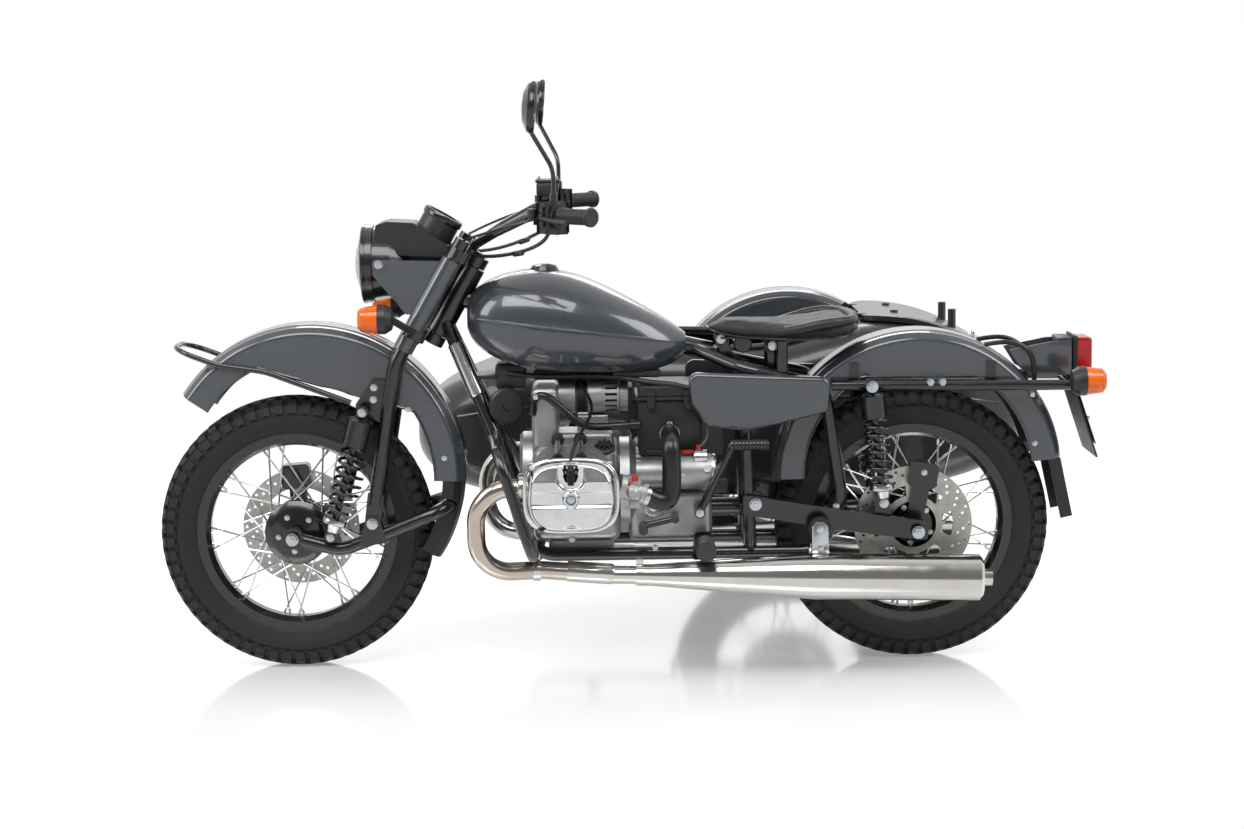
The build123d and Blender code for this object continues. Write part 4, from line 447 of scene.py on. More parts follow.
class Form:
    """A mesh under construction, in drawing millimetres from the rear axle."""

    def __init__(self) -> None:
        """Starts an empty form."""
        self.bm = bmesh.new()

    def grid(self, rows: Sequence[Sequence[Vector]], close_rows: bool = False, close_columns: bool = False,
             caps: bool = False) -> None:
        """Adds a sheet of quads through rows of points.

        Args:
            rows: Rows of equally many points.
            close_rows: Whether the last row joins the first.
            close_columns: Whether each row is a loop.
            caps: Whether the first and the last row are filled.
        """
        made = [[self.bm.verts.new(p) for p in row] for row in rows]
        count, width = len(made), len(made[0])
        for i in range(count if close_rows else count - 1):
            for j in range(width if close_columns else width - 1):
                a, b = made[i], made[(i + 1) % count]
                k = (j + 1) % width
                self.bm.faces.new((a[j], a[k], b[k], b[j]))
        if caps:
            for row in (rows[0], rows[-1]):
                self.bm.faces.new([self.bm.verts.new(p) for p in row])

    def lathe(self, profile: Profile, start: Point | Vector, direction: Point | Vector, steps: int = 48,
              closed: bool = False) -> None:
        """Turns a profile about a line.

        Args:
            profile: Corners as distance along the line and radius.
            start: Where the line starts.
            direction: The line's direction.
            steps: Divisions round the line.
            closed: Whether the profile is a loop, as on a ring.
        """
        origin, along = Vector(start), Vector(direction).normalized()
        u, v = across(along)
        turns = [(math.cos(math.tau * k / steps), math.sin(math.tau * k / steps)) for k in range(steps)]
        rows = [[origin + along * d + (u * c + v * s) * r for c, s in turns] for d, r in profile]
        self.grid(rows, close_rows=closed, close_columns=True)

    def block(self, middle: Point | Vector, size: Point, bevel: float = 0.0, turn: Matrix | None = None,
              taper: float = 1.0) -> None:
        """Adds a box with bevelled edges.

        Args:
            middle: The box's middle.
            size: Its length along x, y and z.
            bevel: Width of the edges' bevel.
            turn: A rotation about its middle.
            taper: Size of its top against its foot.
        """
        pose = Matrix.Translation(Vector(middle)) @ (turn.to_4x4() if turn else Matrix.Identity(4))
        made = bmesh.ops.create_cube(self.bm, size=1.0)["verts"]
        for vert in made:
            share = taper if vert.co.z > 0 else 1.0
            x, y, z = vert.co
            vert.co = pose @ Vector((x * size[0] * share, y * size[1] * share, z * size[2]))
        if bevel:
            edges = {edge for vert in made for edge in vert.link_edges}
            bmesh.ops.bevel(self.bm, geom=list(edges), offset=bevel, segments=2, profile=0.5, affect="EDGES")

    def plate(self, corners: Sequence[tuple[float, float]], y_low: float, y_high: float, bevel: float = 0.0) -> None:
        """Adds a flat piece with (x, z) corners between two y values.

        Args:
            corners: The outline.
            y_low: One face.
            y_high: The other face.
            bevel: Width of the edges' bevel.
        """
        ring = [[self.bm.verts.new((x, y, z)) for x, z in corners] for y in (y_low, y_high)]
        faces = [self.bm.faces.new(ring[0]), self.bm.faces.new(list(reversed(ring[1])))]
        for i in range(len(corners)):
            k = (i + 1) % len(corners)
            faces.append(self.bm.faces.new((ring[0][k], ring[0][i], ring[1][i], ring[1][k])))
        if bevel:
            edges = {edge for face in faces for edge in face.edges}
            bmesh.ops.bevel(self.bm, geom=list(edges), offset=bevel, segments=2, profile=0.5, affect="EDGES")

    def tube(self, points: Sequence[Point], radius: float, sides: int = 12, smooth: bool = True,
             closed: bool = False) -> None:
        """Adds a round tube along a smooth line through control points.

        Args:
            points: The line's control points.
            radius: The tube's radius.
            sides: Divisions round it.
            smooth: Whether the line is a spline and not straight runs.
            closed: Whether the line is a loop.
        """
        line = spline_points(points, closed) if smooth else [Vector(p) for p in points]
        count = len(line)
        frame_u, _ = across(line[1] - line[0])
        rows = []
        for i, point in enumerate(line):
            ahead = line[(i + 1) % count] if closed or i + 1 < count else point
            behind = line[i - 1] if closed or i else point
            along = (ahead - behind).normalized()
            frame_u = (frame_u - along * frame_u.dot(along)).normalized()
            frame_v = along.cross(frame_u)
            rows.append([point + (frame_u * math.cos(a) + frame_v * math.sin(a)) * radius
                         for a in (math.tau * k / sides for k in range(sides))])
        self.grid(rows, close_rows=closed, close_columns=True, caps=not closed)

    def mirror(self) -> None:
        """Adds the right-hand twin of everything drawn so far."""
        copy = bmesh.ops.duplicate(self.bm, geom=self.bm.verts[:] + self.bm.edges[:] + self.bm.faces[:])["geom"]
        for part in copy:
            if isinstance(part, bmesh.types.BMVert):
                part.co.y = -part.co.y

    def mesh(self, name: str, bench: Bench, sharp_deg: float = 32.0) -> bpy.types.Mesh:
        """Closes the form and gives its mesh in the frame.

        Args:
            name: The mesh's name.
            bench: Where the drawing lies in the frame.
            sharp_deg: Edges that turn more than this stay sharp.

        Returns:
            The mesh.
        """
        bmesh.ops.remove_doubles(self.bm, verts=self.bm.verts[:], dist=1e-4)
        bmesh.ops.recalc_face_normals(self.bm, faces=self.bm.faces[:])
        for vert in self.bm.verts:
            vert.co = bench.at(vert.co)
        mesh = bpy.data.meshes.new(name)
        self.bm.to_mesh(mesh)
        self.bm.free()
        smooth_by_angle(mesh, sharp_deg)
        return mesh


def smooth_by_angle(mesh: bpy.types.Mesh, sharp_deg: float) -> None:
    """Shades a mesh smooth, with its sharper edges kept."""
    mesh.shade_smooth()
    mesh.set_sharp_from_angle(angle=math.radians(sharp_deg))


def spline_points(points: Sequence[Point], closed: bool = False) -> list[Vector]:
    """Gives points along a smooth line whose control points are given.

    Args:
        points: The control points.
        closed: Whether the line is a loop.

    Returns:
        The points of the evaluated line.
    """
    curve = bpy.data.curves.new("line", "CURVE")
    curve.dimensions = "3D"
    curve.resolution_u = SPLINE_STEPS
    spline = curve.splines.new("NURBS")
    spline.points.add(len(points) - 1)
    for knot, point in zip(spline.points, points):
        knot.co = (*point, 1.0)
    spline.use_cyclic_u = closed
    spline.order_u = min(3, len(points))
    spline.use_endpoint_u = not closed
    holder = bpy.data.objects.new("line", curve)
    mesh = bpy.data.meshes.new_from_object(holder)
    line = [vert.co.copy() for vert in mesh.vertices]
    bpy.data.objects.remove(holder)
    bpy.data.curves.remove(curve)
    bpy.data.meshes.remove(mesh)
    return line


def place(mesh: bpy.types.Mesh, name: str, finish: Finish, body: Body,
          stands_for: Sequence[str] = ()) -> bpy.types.Object:
    """Makes a finished piece of a mesh and lets it ride on its body.

    Args:
        mesh: The mesh, in the frame.
        name: The piece's name.
        finish: Its surface.
        body: The body that carries it.
        stands_for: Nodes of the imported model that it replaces.

    Returns:
        The piece.
    """
    piece = bpy.data.objects.new(name, mesh)
    bpy.context.scene.collection.objects.link(piece)
    mesh.materials.clear()
    mesh.materials.append(finish.material())
    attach(piece, body.value)
    if stands_for:
        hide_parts(*stands_for)
    log.info("piece %s rides on %s with %d faces", name, body.value, len(mesh.polygons))
    return piece


class Repeat:
    """Node trees that repeat a shape round an axis, along a row or along a path."""

    @staticmethod
    def tree(name: str, sockets: Sequence[tuple[str, str]],
             build: Callable[[bpy.types.NodeTree, dict], bpy.types.NodeSocket]) -> bpy.types.NodeTree:
        """Builds a tree once: its inputs, its own nodes, then Realize Instances and Set Material.

        Args:
            name: The tree's name.
            sockets: Name and socket type of each input after the geometry and the material.
            build: Adds the tree's nodes and gives the geometry that they end in.

        Returns:
            The tree.
        """
        known = bpy.data.node_groups.get(name)
        if known:
            return known
        tree = bpy.data.node_groups.new(name, "GeometryNodeTree")
        tree.interface.new_socket("Geometry", in_out="OUTPUT", socket_type="NodeSocketGeometry")
        for label, kind in (("Geometry", "NodeSocketGeometry"), ("Material", "NodeSocketMaterial"), *sockets):
            tree.interface.new_socket(label, in_out="INPUT", socket_type=kind)
        given = {socket.name: socket for socket in add_node(tree, "NodeGroupInput").outputs if socket.name}
        made = build(tree, given)
        real = add_node(tree, "GeometryNodeRealizeInstances", None, {"Geometry": made})
        painted = add_node(tree, "GeometryNodeSetMaterial", None,
                           {"Geometry": real.outputs[0], "Material": given["Material"]})
        add_node(tree, "NodeGroupOutput", None, {"Geometry": painted.outputs[0]})
        return tree

    @staticmethod
    def run(tree: bpy.types.NodeTree, mesh: bpy.types.Mesh, values: dict) -> bpy.types.Mesh:
        """Runs a tree on a mesh and gives the plain result.

        Args:
            tree: The node tree.
            mesh: What it repeats or follows.
            values: A value for each named input.

        Returns:
            The new mesh.
        """
        holder = bpy.data.objects.new("repeat", mesh)
        bpy.context.scene.collection.objects.link(holder)
        modifier = holder.modifiers.new("repeat", "NODES")
        modifier.node_group = tree
        for item in tree.interface.items_tree:
            if item.in_out == "INPUT" and item.name in values:
                modifier[item.identifier] = values[item.name]
        depsgraph = bpy.context.evaluated_depsgraph_get()
        made = bpy.data.meshes.new_from_object(holder.evaluated_get(depsgraph))
        holder.modifiers.remove(modifier)
        bpy.data.objects.remove(holder)
        bpy.data.meshes.remove(mesh)
        return made

    @classmethod
    def round_axis(cls, mesh: bpy.types.Mesh, count: int, centre: Vector, finish: Finish,
                   axis: Point = (0.0, 1.0, 0.0)) -> bpy.types.Mesh:
        """Repeats a mesh evenly round an axis.

        Args:
            mesh: The shape at its first place.
            count: How many there are.
            centre: A point on the axis, in the frame.
            finish: Their surface.
            axis: The axis' direction.

        Returns:
            All copies in one mesh.
        """
        def build(tree: bpy.types.NodeTree, given: dict) -> bpy.types.NodeSocket:
            """Adds the nodes that turn copies about the axis."""
            back = add_node(tree, "ShaderNodeVectorMath", {"operation": "SCALE"}, {0: given["Centre"], "Scale": -1.0})
            home = add_node(tree, "GeometryNodeTransform", None,
                            {"Geometry": given["Geometry"], "Translation": back.outputs[0]})
            points = add_node(tree, "GeometryNodeMeshLine", None, {"Count": given["Count"], "Offset": (0, 0, 0)})
            index = add_node(tree, "GeometryNodeInputIndex")
            angle = blend(tree, "MULTIPLY", blend(tree, "DIVIDE", index.outputs[0], given["Count"]), math.tau)
            turn = add_node(tree, "FunctionNodeAxisAngleToRotation", None, {"Axis": given["Axis"], "Angle": angle})
            copies = add_node(tree, "GeometryNodeInstanceOnPoints", None, {
                "Points": points.outputs[0], "Instance": home.outputs[0], "Rotation": turn.outputs[0]})
            there = add_node(tree, "GeometryNodeTransform", None,
                             {"Geometry": copies.outputs[0], "Translation": given["Centre"]})
            return there.outputs[0]

        tree = cls.tree("copies_round_an_axis", [("Count", "NodeSocketInt"), ("Centre", "NodeSocketVector"),
                                                 ("Axis", "NodeSocketVector")], build)
        return cls.run(tree, mesh, {"Material": finish.material(), "Count": count, "Centre": tuple(centre),
                                    "Axis": axis})

    @classmethod
    def along_row(cls, mesh: bpy.types.Mesh, count: int, step_mm: Point, finish: Finish) -> bpy.types.Mesh:
        """Repeats a mesh along a straight row.

        Args:
            mesh: The shape at its first place.
            count: How many there are.
            step_mm: The way from one to the next.
            finish: Their surface.

        Returns:
            All copies in one mesh.
        """
        def build(tree: bpy.types.NodeTree, given: dict) -> bpy.types.NodeSocket:
            """Adds the nodes that lay copies in a row."""
            points = add_node(tree, "GeometryNodeMeshLine", None, {"Count": given["Count"], "Offset": given["Step"]})
            copies = add_node(tree, "GeometryNodeInstanceOnPoints", None,
                              {"Points": points.outputs[0], "Instance": given["Geometry"]})
            return copies.outputs[0]

        tree = cls.tree("copies_in_a_row", [("Count", "NodeSocketInt"), ("Step", "NodeSocketVector")], build)
        step = tuple(x * MM for x in step_mm)
        return cls.run(tree, mesh, {"Material": finish.material(), "Count": count, "Step": step})

    @classmethod
    def bolts(cls, places: Sequence[tuple[Vector, Vector, float]], finish: Finish) -> bpy.types.Mesh:
        """Puts a hexagon bolt with its washer at each place.

        Args:
            places: Place in the frame, direction of the head and its width in millimetres.
            finish: Their surface.

        Returns:
            All bolts in one mesh.
        """
        def build(tree: bpy.types.NodeTree, given: dict) -> bpy.types.NodeSocket:
            """Adds the nodes that draw one bolt and set it on each point."""
            washer = add_node(tree, "GeometryNodeMeshCylinder", None, {"Vertices": 20, "Radius": 0.64, "Depth": 0.14})
            head = add_node(tree, "GeometryNodeMeshCylinder", None, {"Vertices": 6, "Radius": 0.55, "Depth": 0.62})
            stud = add_node(tree, "GeometryNodeMeshCylinder", None, {"Vertices": 12, "Radius": 0.3, "Depth": 0.3})
            lift = add_node(tree, "GeometryNodeTransform", None,
                            {"Geometry": head.outputs[0], "Translation": (0, 0, 0.34)})
            tip = add_node(tree, "GeometryNodeTransform", None,
                           {"Geometry": stud.outputs[0], "Translation": (0, 0, 0.72)})
            bolt = add_node(tree, "GeometryNodeJoinGeometry")
            for part in (washer, lift, tip):
                tree.links.new(part.outputs[0], bolt.inputs[0])
            facing = add_node(tree, "GeometryNodeInputNamedAttribute", {"data_type": "FLOAT_VECTOR"},
                              {"Name": "facing"})
            width = add_node(tree, "GeometryNodeInputNamedAttribute", {"data_type": "FLOAT"}, {"Name": "width"})
            turn = add_node(tree, "FunctionNodeAlignRotationToVector", {"axis": "Z"}, {"Vector": facing.outputs[0]})
            copies = add_node(tree, "GeometryNodeInstanceOnPoints", None, {
                "Points": given["Geometry"], "Instance": bolt.outputs[0], "Rotation": turn.outputs[0],
                "Scale": width.outputs[0]})
            return copies.outputs[0]

        tree = cls.tree("bolts_on_points", [], build)
        mesh = bpy.data.meshes.new("bolt_places")
        mesh.from_pydata([tuple(spot) for spot, _, _ in places], [], [])
        mesh.attributes.new("facing", "FLOAT_VECTOR", "POINT").data.foreach_set(
            "vector", [x for _, facing, _ in places for x in facing.normalized()])
        mesh.attributes.new("width", "FLOAT", "POINT").data.foreach_set("value", [w * MM for _, _, w in places])
        made = cls.run(tree, mesh, {"Material": finish.material()})
        smooth_by_angle(made, 30.0)
        return made

    @classmethod
    def coil(cls, top: Vector, foot: Vector, radius: float, wire: float, turns: float,
             finish: Finish) -> bpy.types.Mesh:
        """Winds a spring between two points.

        Args:
            top: Where the first turn lies, in the frame.
            foot: Where the last turn lies.
            radius: Radius of the turns, in millimetres.
            wire: Radius of the wire, in millimetres.
            turns: How many turns there are.
            finish: Its surface.

        Returns:
            The spring's mesh.
        """
        def build(tree: bpy.types.NodeTree, given: dict) -> bpy.types.NodeSocket:
            """Adds the nodes that wind the wire."""
            helix = add_node(tree, "GeometryNodeCurveSpiral", None, {
                "Resolution": 28, "Rotations": given["Turns"], "Start Radius": given["Radius"],
                "End Radius": given["Radius"], "Height": given["Height"]})
            section = add_node(tree, "GeometryNodeCurvePrimitiveCircle", None,
                               {"Resolution": 10, "Radius": given["Wire"]})
            wound = add_node(tree, "GeometryNodeCurveToMesh", None, {
                "Curve": helix.outputs[0], "Profile Curve": section.outputs[0], "Fill Caps": True})
            smooth = add_node(tree, "GeometryNodeSetShadeSmooth", None, {0: wound.outputs[0]})
            return smooth.outputs[0]

        tree = cls.tree("wound_spring", [("Turns", "NodeSocketFloat"), ("Radius", "NodeSocketFloat"),
                                         ("Wire", "NodeSocketFloat"), ("Height", "NodeSocketFloat")], build)
        span = foot - top
        made = cls.run(tree, bpy.data.meshes.new("spring_seed"), {
            "Material": finish.material(), "Turns": turns, "Radius": radius * MM, "Wire": wire * MM,
            "Height": span.length})
        u, v = across(span)
        turn = Matrix((u, v, span.normalized())).transposed()
        made.transform(Matrix.Translation(top) @ turn.to_4x4())
        return made


def joined(name: str, meshes: Sequence[bpy.types.Mesh]) -> bpy.types.Mesh:
    """Joins meshes that share a finish into one.

    Args:
        name: The new mesh's name.
        meshes: The meshes, which are used up.

    Returns:
        The joined mesh.
    """
    bm = bmesh.new()
    for mesh in meshes:
        bm.from_mesh(mesh)
        bpy.data.meshes.remove(mesh)
    made = bpy.data.meshes.new(name)
    bm.to_mesh(made)
    bm.free()
    return made


@dataclass
class Wheel:
    """One wire wheel: block-tread tyre, laced spokes, hub and drilled disc, round its axle."""

    name: str
    body: Body
    bench: Bench
    disc_side: int
    lug_count: int = 58
    lug_length: float = 25.0
    spoke_sectors: int = 9
    spoke_lean_deg: float = 52.0
    spoke_radius: float = 2.4
    flange_radius: float = 66.0
    flange_y: float = 35.0
    rim_well: float = 221.0
    disc_radius: float = 148.0
    disc_y: float = 54.5
    disc_holes: int = 20
    disc_bore: float = 48.0
    cover_radius: float = 81.0

    # columns: distance from the middle, radius
    CARCASS = [(29, 240), (33, 250), (37, 254), (40, 258), (41, 262), (46, 272), (50, 284), (52, 294), (52.4, 298),
               (51, 299.5), (49.5, 306), (47, 315), (44, 322), (38, 328), (28, 331.2), (14, 333), (0, 333.4)]
    # columns: middle across, radius, outward tilt in degrees, width, height, share of the pitch it lags
    LUGS = [(0.0, 338.2, 0.0, 22.0, 12.6, 0.0), (22.5, 336.4, 8.0, 16.0, 12.8, 0.5),
            (40.5, 329.8, 32.0, 18.0, 13.0, 0.0), (48.3, 315.5, 74.0, 23.0, 9.4, 0.0),
            (49.8, 303.5, 84.0, 7.0, 5.0, 0.5)]

    # columns: radius of a row of drillings, share of the pitch it lags
    DRILLINGS = [(139, 0.0), (127, 0.33), (115, 0.66)]

    def centre(self) -> Vector:
        """Gives the axle's middle in drawing millimetres."""
        return self.bench.middle(f"{self.name}_tyre")

    def polar(self, y: float, radius: float, angle: float) -> Vector:
        """Gives a point by its distance across, radius and angle round the axle."""
        return self.centre() + Vector((math.sin(angle) * radius, y, math.cos(angle) * radius))

    def build(self) -> None:
        """Builds and places all pieces of the wheel."""
        self.build_tyre()
        self.build_spokes()
        self.build_hub()
        self.build_disc()

    def build_tyre(self) -> None:
        """Turns the carcass and sets the tread blocks round it."""
        carcass = Form()
        half = self.CARCASS
        loop = half + [(-y, r) for y, r in reversed(half[:-1])]
        carcass.lathe(loop, self.centre(), (0, 1, 0), steps=120, closed=True)
        shell = carcass.mesh("carcass", self.bench, sharp_deg=40)
        sector = Form()
        pitch = math.tau / self.lug_count
        for y, radius, tilt, width, height, lag in self.LUGS:
            for side in ((1, -1) if y else (1,)):
                angle = lag * pitch
                turn = Matrix.Rotation(angle, 3, "Y") @ Matrix.Rotation(-side * math.radians(tilt), 3, "X")
                sector.block(self.polar(side * y, radius, angle), (self.lug_length, width, height), turn=turn,
                             taper=0.9)
        lugs = Repeat.round_axis(sector.mesh("lugs", self.bench), self.lug_count, self.bench.at(self.centre()),
                                 TYRE_RUBBER)
        place(joined("tyre", [shell, lugs]), f"{self.name}_block_tyre", TYRE_RUBBER, self.body, [f"{self.name}_tyre"])

    def build_spokes(self) -> None:
        """Laces the spokes, with their nipples at the rim."""
        sector = Form()
        step = math.tau / self.spoke_sectors / 4
        for index in range(4):
            side = 1 if index % 2 else -1
            lean = math.radians(self.spoke_lean_deg if index < 2 else -self.spoke_lean_deg)
            root = self.polar(side * self.flange_y, self.flange_radius, index * step)
            tip = self.polar(side * 6.0, self.rim_well, index * step + lean)
            run = tip - root
            sector.lathe([(0, 0), (0, self.spoke_radius), (run.length, self.spoke_radius), (run.length, 0)], root, run,
                         8)
            sector.lathe([(-1, 0), (-1, 3.6), (2, 4.4), (4, 4.4), (5, 0)], root + Vector((0, side * 3, 0)),
                         Vector((0, -side, 0)), 8)
            long = 16.0
            sector.lathe([(0, 2.4), (2, 3.3), (long, 3.6), (long, 0)], tip - run.normalized() * long, run, 8)
        spokes = Repeat.round_axis(sector.mesh("spokes", self.bench), self.spoke_sectors,
                                   self.bench.at(self.centre()), SPOKE_WIRE)
        place(spokes, f"{self.name}_spokes", SPOKE_WIRE, self.body)

    def build_hub(self) -> None:
        """Turns the hub with its flanges, the plain cover on one side and the disc's carrier on the other."""
        hub = Form()
        d = self.disc_side
        bore, flange = 10.2, self.flange_radius + 6
        profile = [(-52, bore), (-52, 30), (-50, 34), (-50, 56), (-47, 66), (-40, self.cover_radius - 3),
                   (-38, self.cover_radius), (-33, self.cover_radius), (-32, flange), (-29, flange), (-27, 46),
                   (-14, 40), (14, 40), (28, 46), (30, flange), (37, flange), (38, 60), (44, 46), (50, 44), (52, 58),
                   (57, 58), (57, 30), (57, bore)]
        hub.lathe([(y * d, r) for y, r in profile], self.centre(), (0, 1, 0), 64, closed=True)
        place(hub.mesh("hub", self.bench, 28), f"{self.name}_hub_shell", BLACK_ENAMEL, self.body, [f"{self.name}_hub"])
        places = []
        for index in range(5):
            angle = math.tau * index / 5 + 0.5
            places.append((self.bench.at(self.polar(-d * 50, 46, angle)), Vector((0, -d, 0)), 11.0))
            places.append((self.bench.at(self.polar(d * 57, 48, angle)), Vector((0, d, 0)), 11.0))
        place(Repeat.bolts(places, ZINC), f"{self.name}_hub_bolts", ZINC, self.body)

    def build_disc(self) -> None:
        """Cuts the brake disc with its drillings and windows as a filled outline, then thickens it."""
        curve = bpy.data.curves.new("disc", "CURVE")
        curve.dimensions, curve.fill_mode, curve.extrude = "2D", "BOTH", 2.5 * MM

        def outline(points: Profile) -> None:
            """Adds one closed outline."""
            spline = curve.splines.new("POLY")
            spline.points.add(len(points) - 1)
            spline.use_cyclic_u = True
            for knot, (x, z) in zip(spline.points, points):
                knot.co = (x * MM, z * MM, 0, 1)

        def circle(x: float, z: float, radius: float, sides: int) -> None:
            """Adds one round outline."""
            turns = [math.tau * k / sides for k in range(sides)]
            outline([(x + radius * math.cos(a), z + radius * math.sin(a)) for a in turns])

        circle(0, 0, self.disc_radius, 96)
        circle(0, 0, self.disc_bore, 48)
        for index in range(self.disc_holes):
            for radius, lag in self.DRILLINGS:
                angle = math.tau * (index + lag) / self.disc_holes
                circle(radius * math.cos(angle), radius * math.sin(angle), 3.8, 12)
        for index in range(6):
            window = []
            for radius, spread, share in ((100, 1, 1.0), (74, -1, 0.9)):
                for k in range(9):
                    a = math.radians(60 * index + spread * (-19 + 38 * k / 8) * share)
                    window.append((radius * math.cos(a), radius * math.sin(a)))
            outline(window)
        holder = bpy.data.objects.new("disc", curve)
        mesh = bpy.data.meshes.new_from_object(holder)
        bpy.data.objects.remove(holder)
        bpy.data.curves.remove(curve)
        spot = self.centre() + Vector((0, self.disc_side * self.disc_y, 0))
        mesh.transform(Matrix.Translation(self.bench.at(spot)) @ Matrix.Rotation(math.pi / 2, 4, "X"))
        place(mesh, f"{self.name}_brake_disc", DISC_STEEL, self.body)


@dataclass
class Damper:
    """Coil-over damper between two eyes: dust cover, wound spring, alloy collar and rubber-bushed eyes."""

    top: Point
    foot: Point
    coil_radius: float = 31.0
    eye_radius: float = 15.0
    eye_half: float = 11.0
    wire: float = 4.3
    turns: float = 8.0

    def black_parts(self, bench: Bench) -> list[bpy.types.Mesh]:
        """Gives the cover, eyes, rod and spring.

        Args:
            bench: Where the drawing lies in the frame.

        Returns:
            The meshes, all of black enamel.
        """
        top, foot = Vector(self.top), Vector(self.foot)
        run = foot - top
        length, along = run.length, run.normalized()
        r = self.coil_radius
        cover = length * 0.27
        body = Form()
        body.lathe([(self.eye_radius - 2, 0), (self.eye_radius - 2, 12), (self.eye_radius + 4, r - 6),
                    (self.eye_radius + 9, r), (cover, r), (cover + 2, r - 2), (cover + 2, 0)], top, run, 40)
        body.lathe([(cover, 9), (length - 40, 9)], top, run, 20)
        for eye in (top, foot):
            half = self.eye_half
            body.lathe([(-half, 9), (-half, self.eye_radius), (half, self.eye_radius), (half, 9)],
                       eye, (0, 1, 0), 28, closed=True)
        spring = Repeat.coil(bench.at(top + along * (cover + 2)), bench.at(top + along * (length - 46)),
                             r * 0.86, self.wire, self.turns, BLACK_ENAMEL)
        return [body.mesh("damper", bench), spring]

    def alloy_parts(self, bench: Bench) -> bpy.types.Mesh:
        """Gives the spring's seat and the lower body."""
        top, foot = Vector(self.top), Vector(self.foot)
        run = foot - top
        length, r = run.length, self.coil_radius
        body = Form()
        body.lathe([(length - 46, 0), (length - 46, r * 0.95), (length - 42, r), (length - 34, r),
                    (length - 30, r * 0.7), (length - 24, r * 0.62), (length - self.eye_radius + 3, r * 0.5),
                    (length - self.eye_radius + 3, 0)],
                   top, run, 40)
        return body.mesh("collar", bench)

    @staticmethod
    def place_set(dampers: Sequence[Damper], bench: Bench, name: str, body: Body, node: str) -> None:
        """Places a set of dampers that ride on one body.

        Args:
            dampers: The dampers.
            bench: Where the drawing lies in the frame.
            name: First word of the pieces' names.
            body: The body that carries them.
            node: The node that they stand for.
        """
        black = [mesh for damper in dampers for mesh in damper.black_parts(bench)]
        place(joined("dampers", black), f"{name}_springs_and_covers", BLACK_ENAMEL, body, [node])
        alloy = [damper.alloy_parts(bench) for damper in dampers]
        place(joined("collars", alloy), f"{name}_spring_seats", POLISHED_ALLOY, body)


@dataclass
class Mudguard:
    """Rolled sheet mudguard: a full crown with raised beads, and deep sides above a straight edge."""

    name: str
    body: Body
    centre: Point
    radius: float
    start_deg: float
    end_deg: float
    edge_rise: float
    slope_deg: float
    half_width: float = 76.0
    crown: float = 26.0
    deep_skirt: float = 120.0
    skirt: float = 48.0
    sheet: float = 2.4
    bead_rise: float = 2.6
    bead_width: float = 4.5

    # columns: share of the half width at which a bead runs
    BEADS = (0.50, 0.80)

    def skirt_radius(self, angle: float) -> float:
        """Gives the radius of the side's lower edge at an angle from straight up."""
        shallow = self.radius - self.crown - self.skirt
        deep = self.radius - self.crown - self.deep_skirt
        drop = math.cos(angle + math.radians(self.slope_deg))
        edge = self.edge_rise / drop if drop > 0.05 else shallow
        return min(max(edge, deep), shallow)

    def section(self, angle: float) -> list[tuple[float, float]]:
        """Gives half of the section at an angle as (y, radius), from the crown to the rolled edge."""
        points = []
        for k in range(25):
            t = math.pi / 2 * k / 24
            share = math.sin(t) ** 0.77
            y, r = self.half_width * share, self.radius - self.crown * (1 - math.cos(t))
            for bead in self.BEADS:
                r += self.bead_rise * math.exp(-(((share - bead) * self.half_width) / self.bead_width) ** 2)
            points.append((y, r))
        low = self.skirt_radius(angle)
        high = self.radius - self.crown
        for k in range(1, 9):
            points.append((self.half_width, high + (low - high) * k / 8))
        points += [(self.half_width + 1.6, low + 1.5), (self.half_width + 2.6, low - 1.0),
                   (self.half_width + 1.2, low - 3.0)]
        return points

    def mesh(self, bench: Bench) -> bpy.types.Mesh:
        """Gives the guard's sheet, with its thickness, as a mesh."""
        form = Form()
        rows = []
        steps = 90
        for k in range(steps + 1):
            angle = math.radians(self.start_deg + (self.end_deg - self.start_deg) * k / steps)
            half = self.section(angle)
            full = [(-y, r) for y, r in reversed(half[1:])] + half
            rows.append([Vector(self.centre) + Vector((math.sin(angle) * r, y, math.cos(angle) * r)) for y, r in full])
        form.grid(rows)
        bmesh.ops.recalc_face_normals(form.bm, faces=form.bm.faces[:])
        crown = max(form.bm.faces, key=lambda face: face.calc_center_median().z)
        if crown.normal.z < 0:
            bmesh.ops.reverse_faces(form.bm, faces=form.bm.faces[:])
        bmesh.ops.solidify(form.bm, geom=form.bm.faces[:], thickness=self.sheet)
        return form.mesh(self.name, bench, sharp_deg=50)


@dataclass
class Trim:
    """A sub-assembly whose pieces ride on one body."""

    bench: Bench

    CARRIER = Body.CHASSIS

    def put(self, form: Form, name: str, finish: Finish, stands_for: Sequence[str] = (),
            sharp_deg: float = 32.0) -> None:
        """Closes a form and places it on the carrier.

        Args:
            form: The drawn form, which is used up.
            name: The piece's name.
            finish: Its surface.
            stands_for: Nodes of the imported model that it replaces.
            sharp_deg: Edges that turn more than this stay sharp.
        """
        place(form.mesh(name, self.bench, sharp_deg), name, finish, self.CARRIER, stands_for)


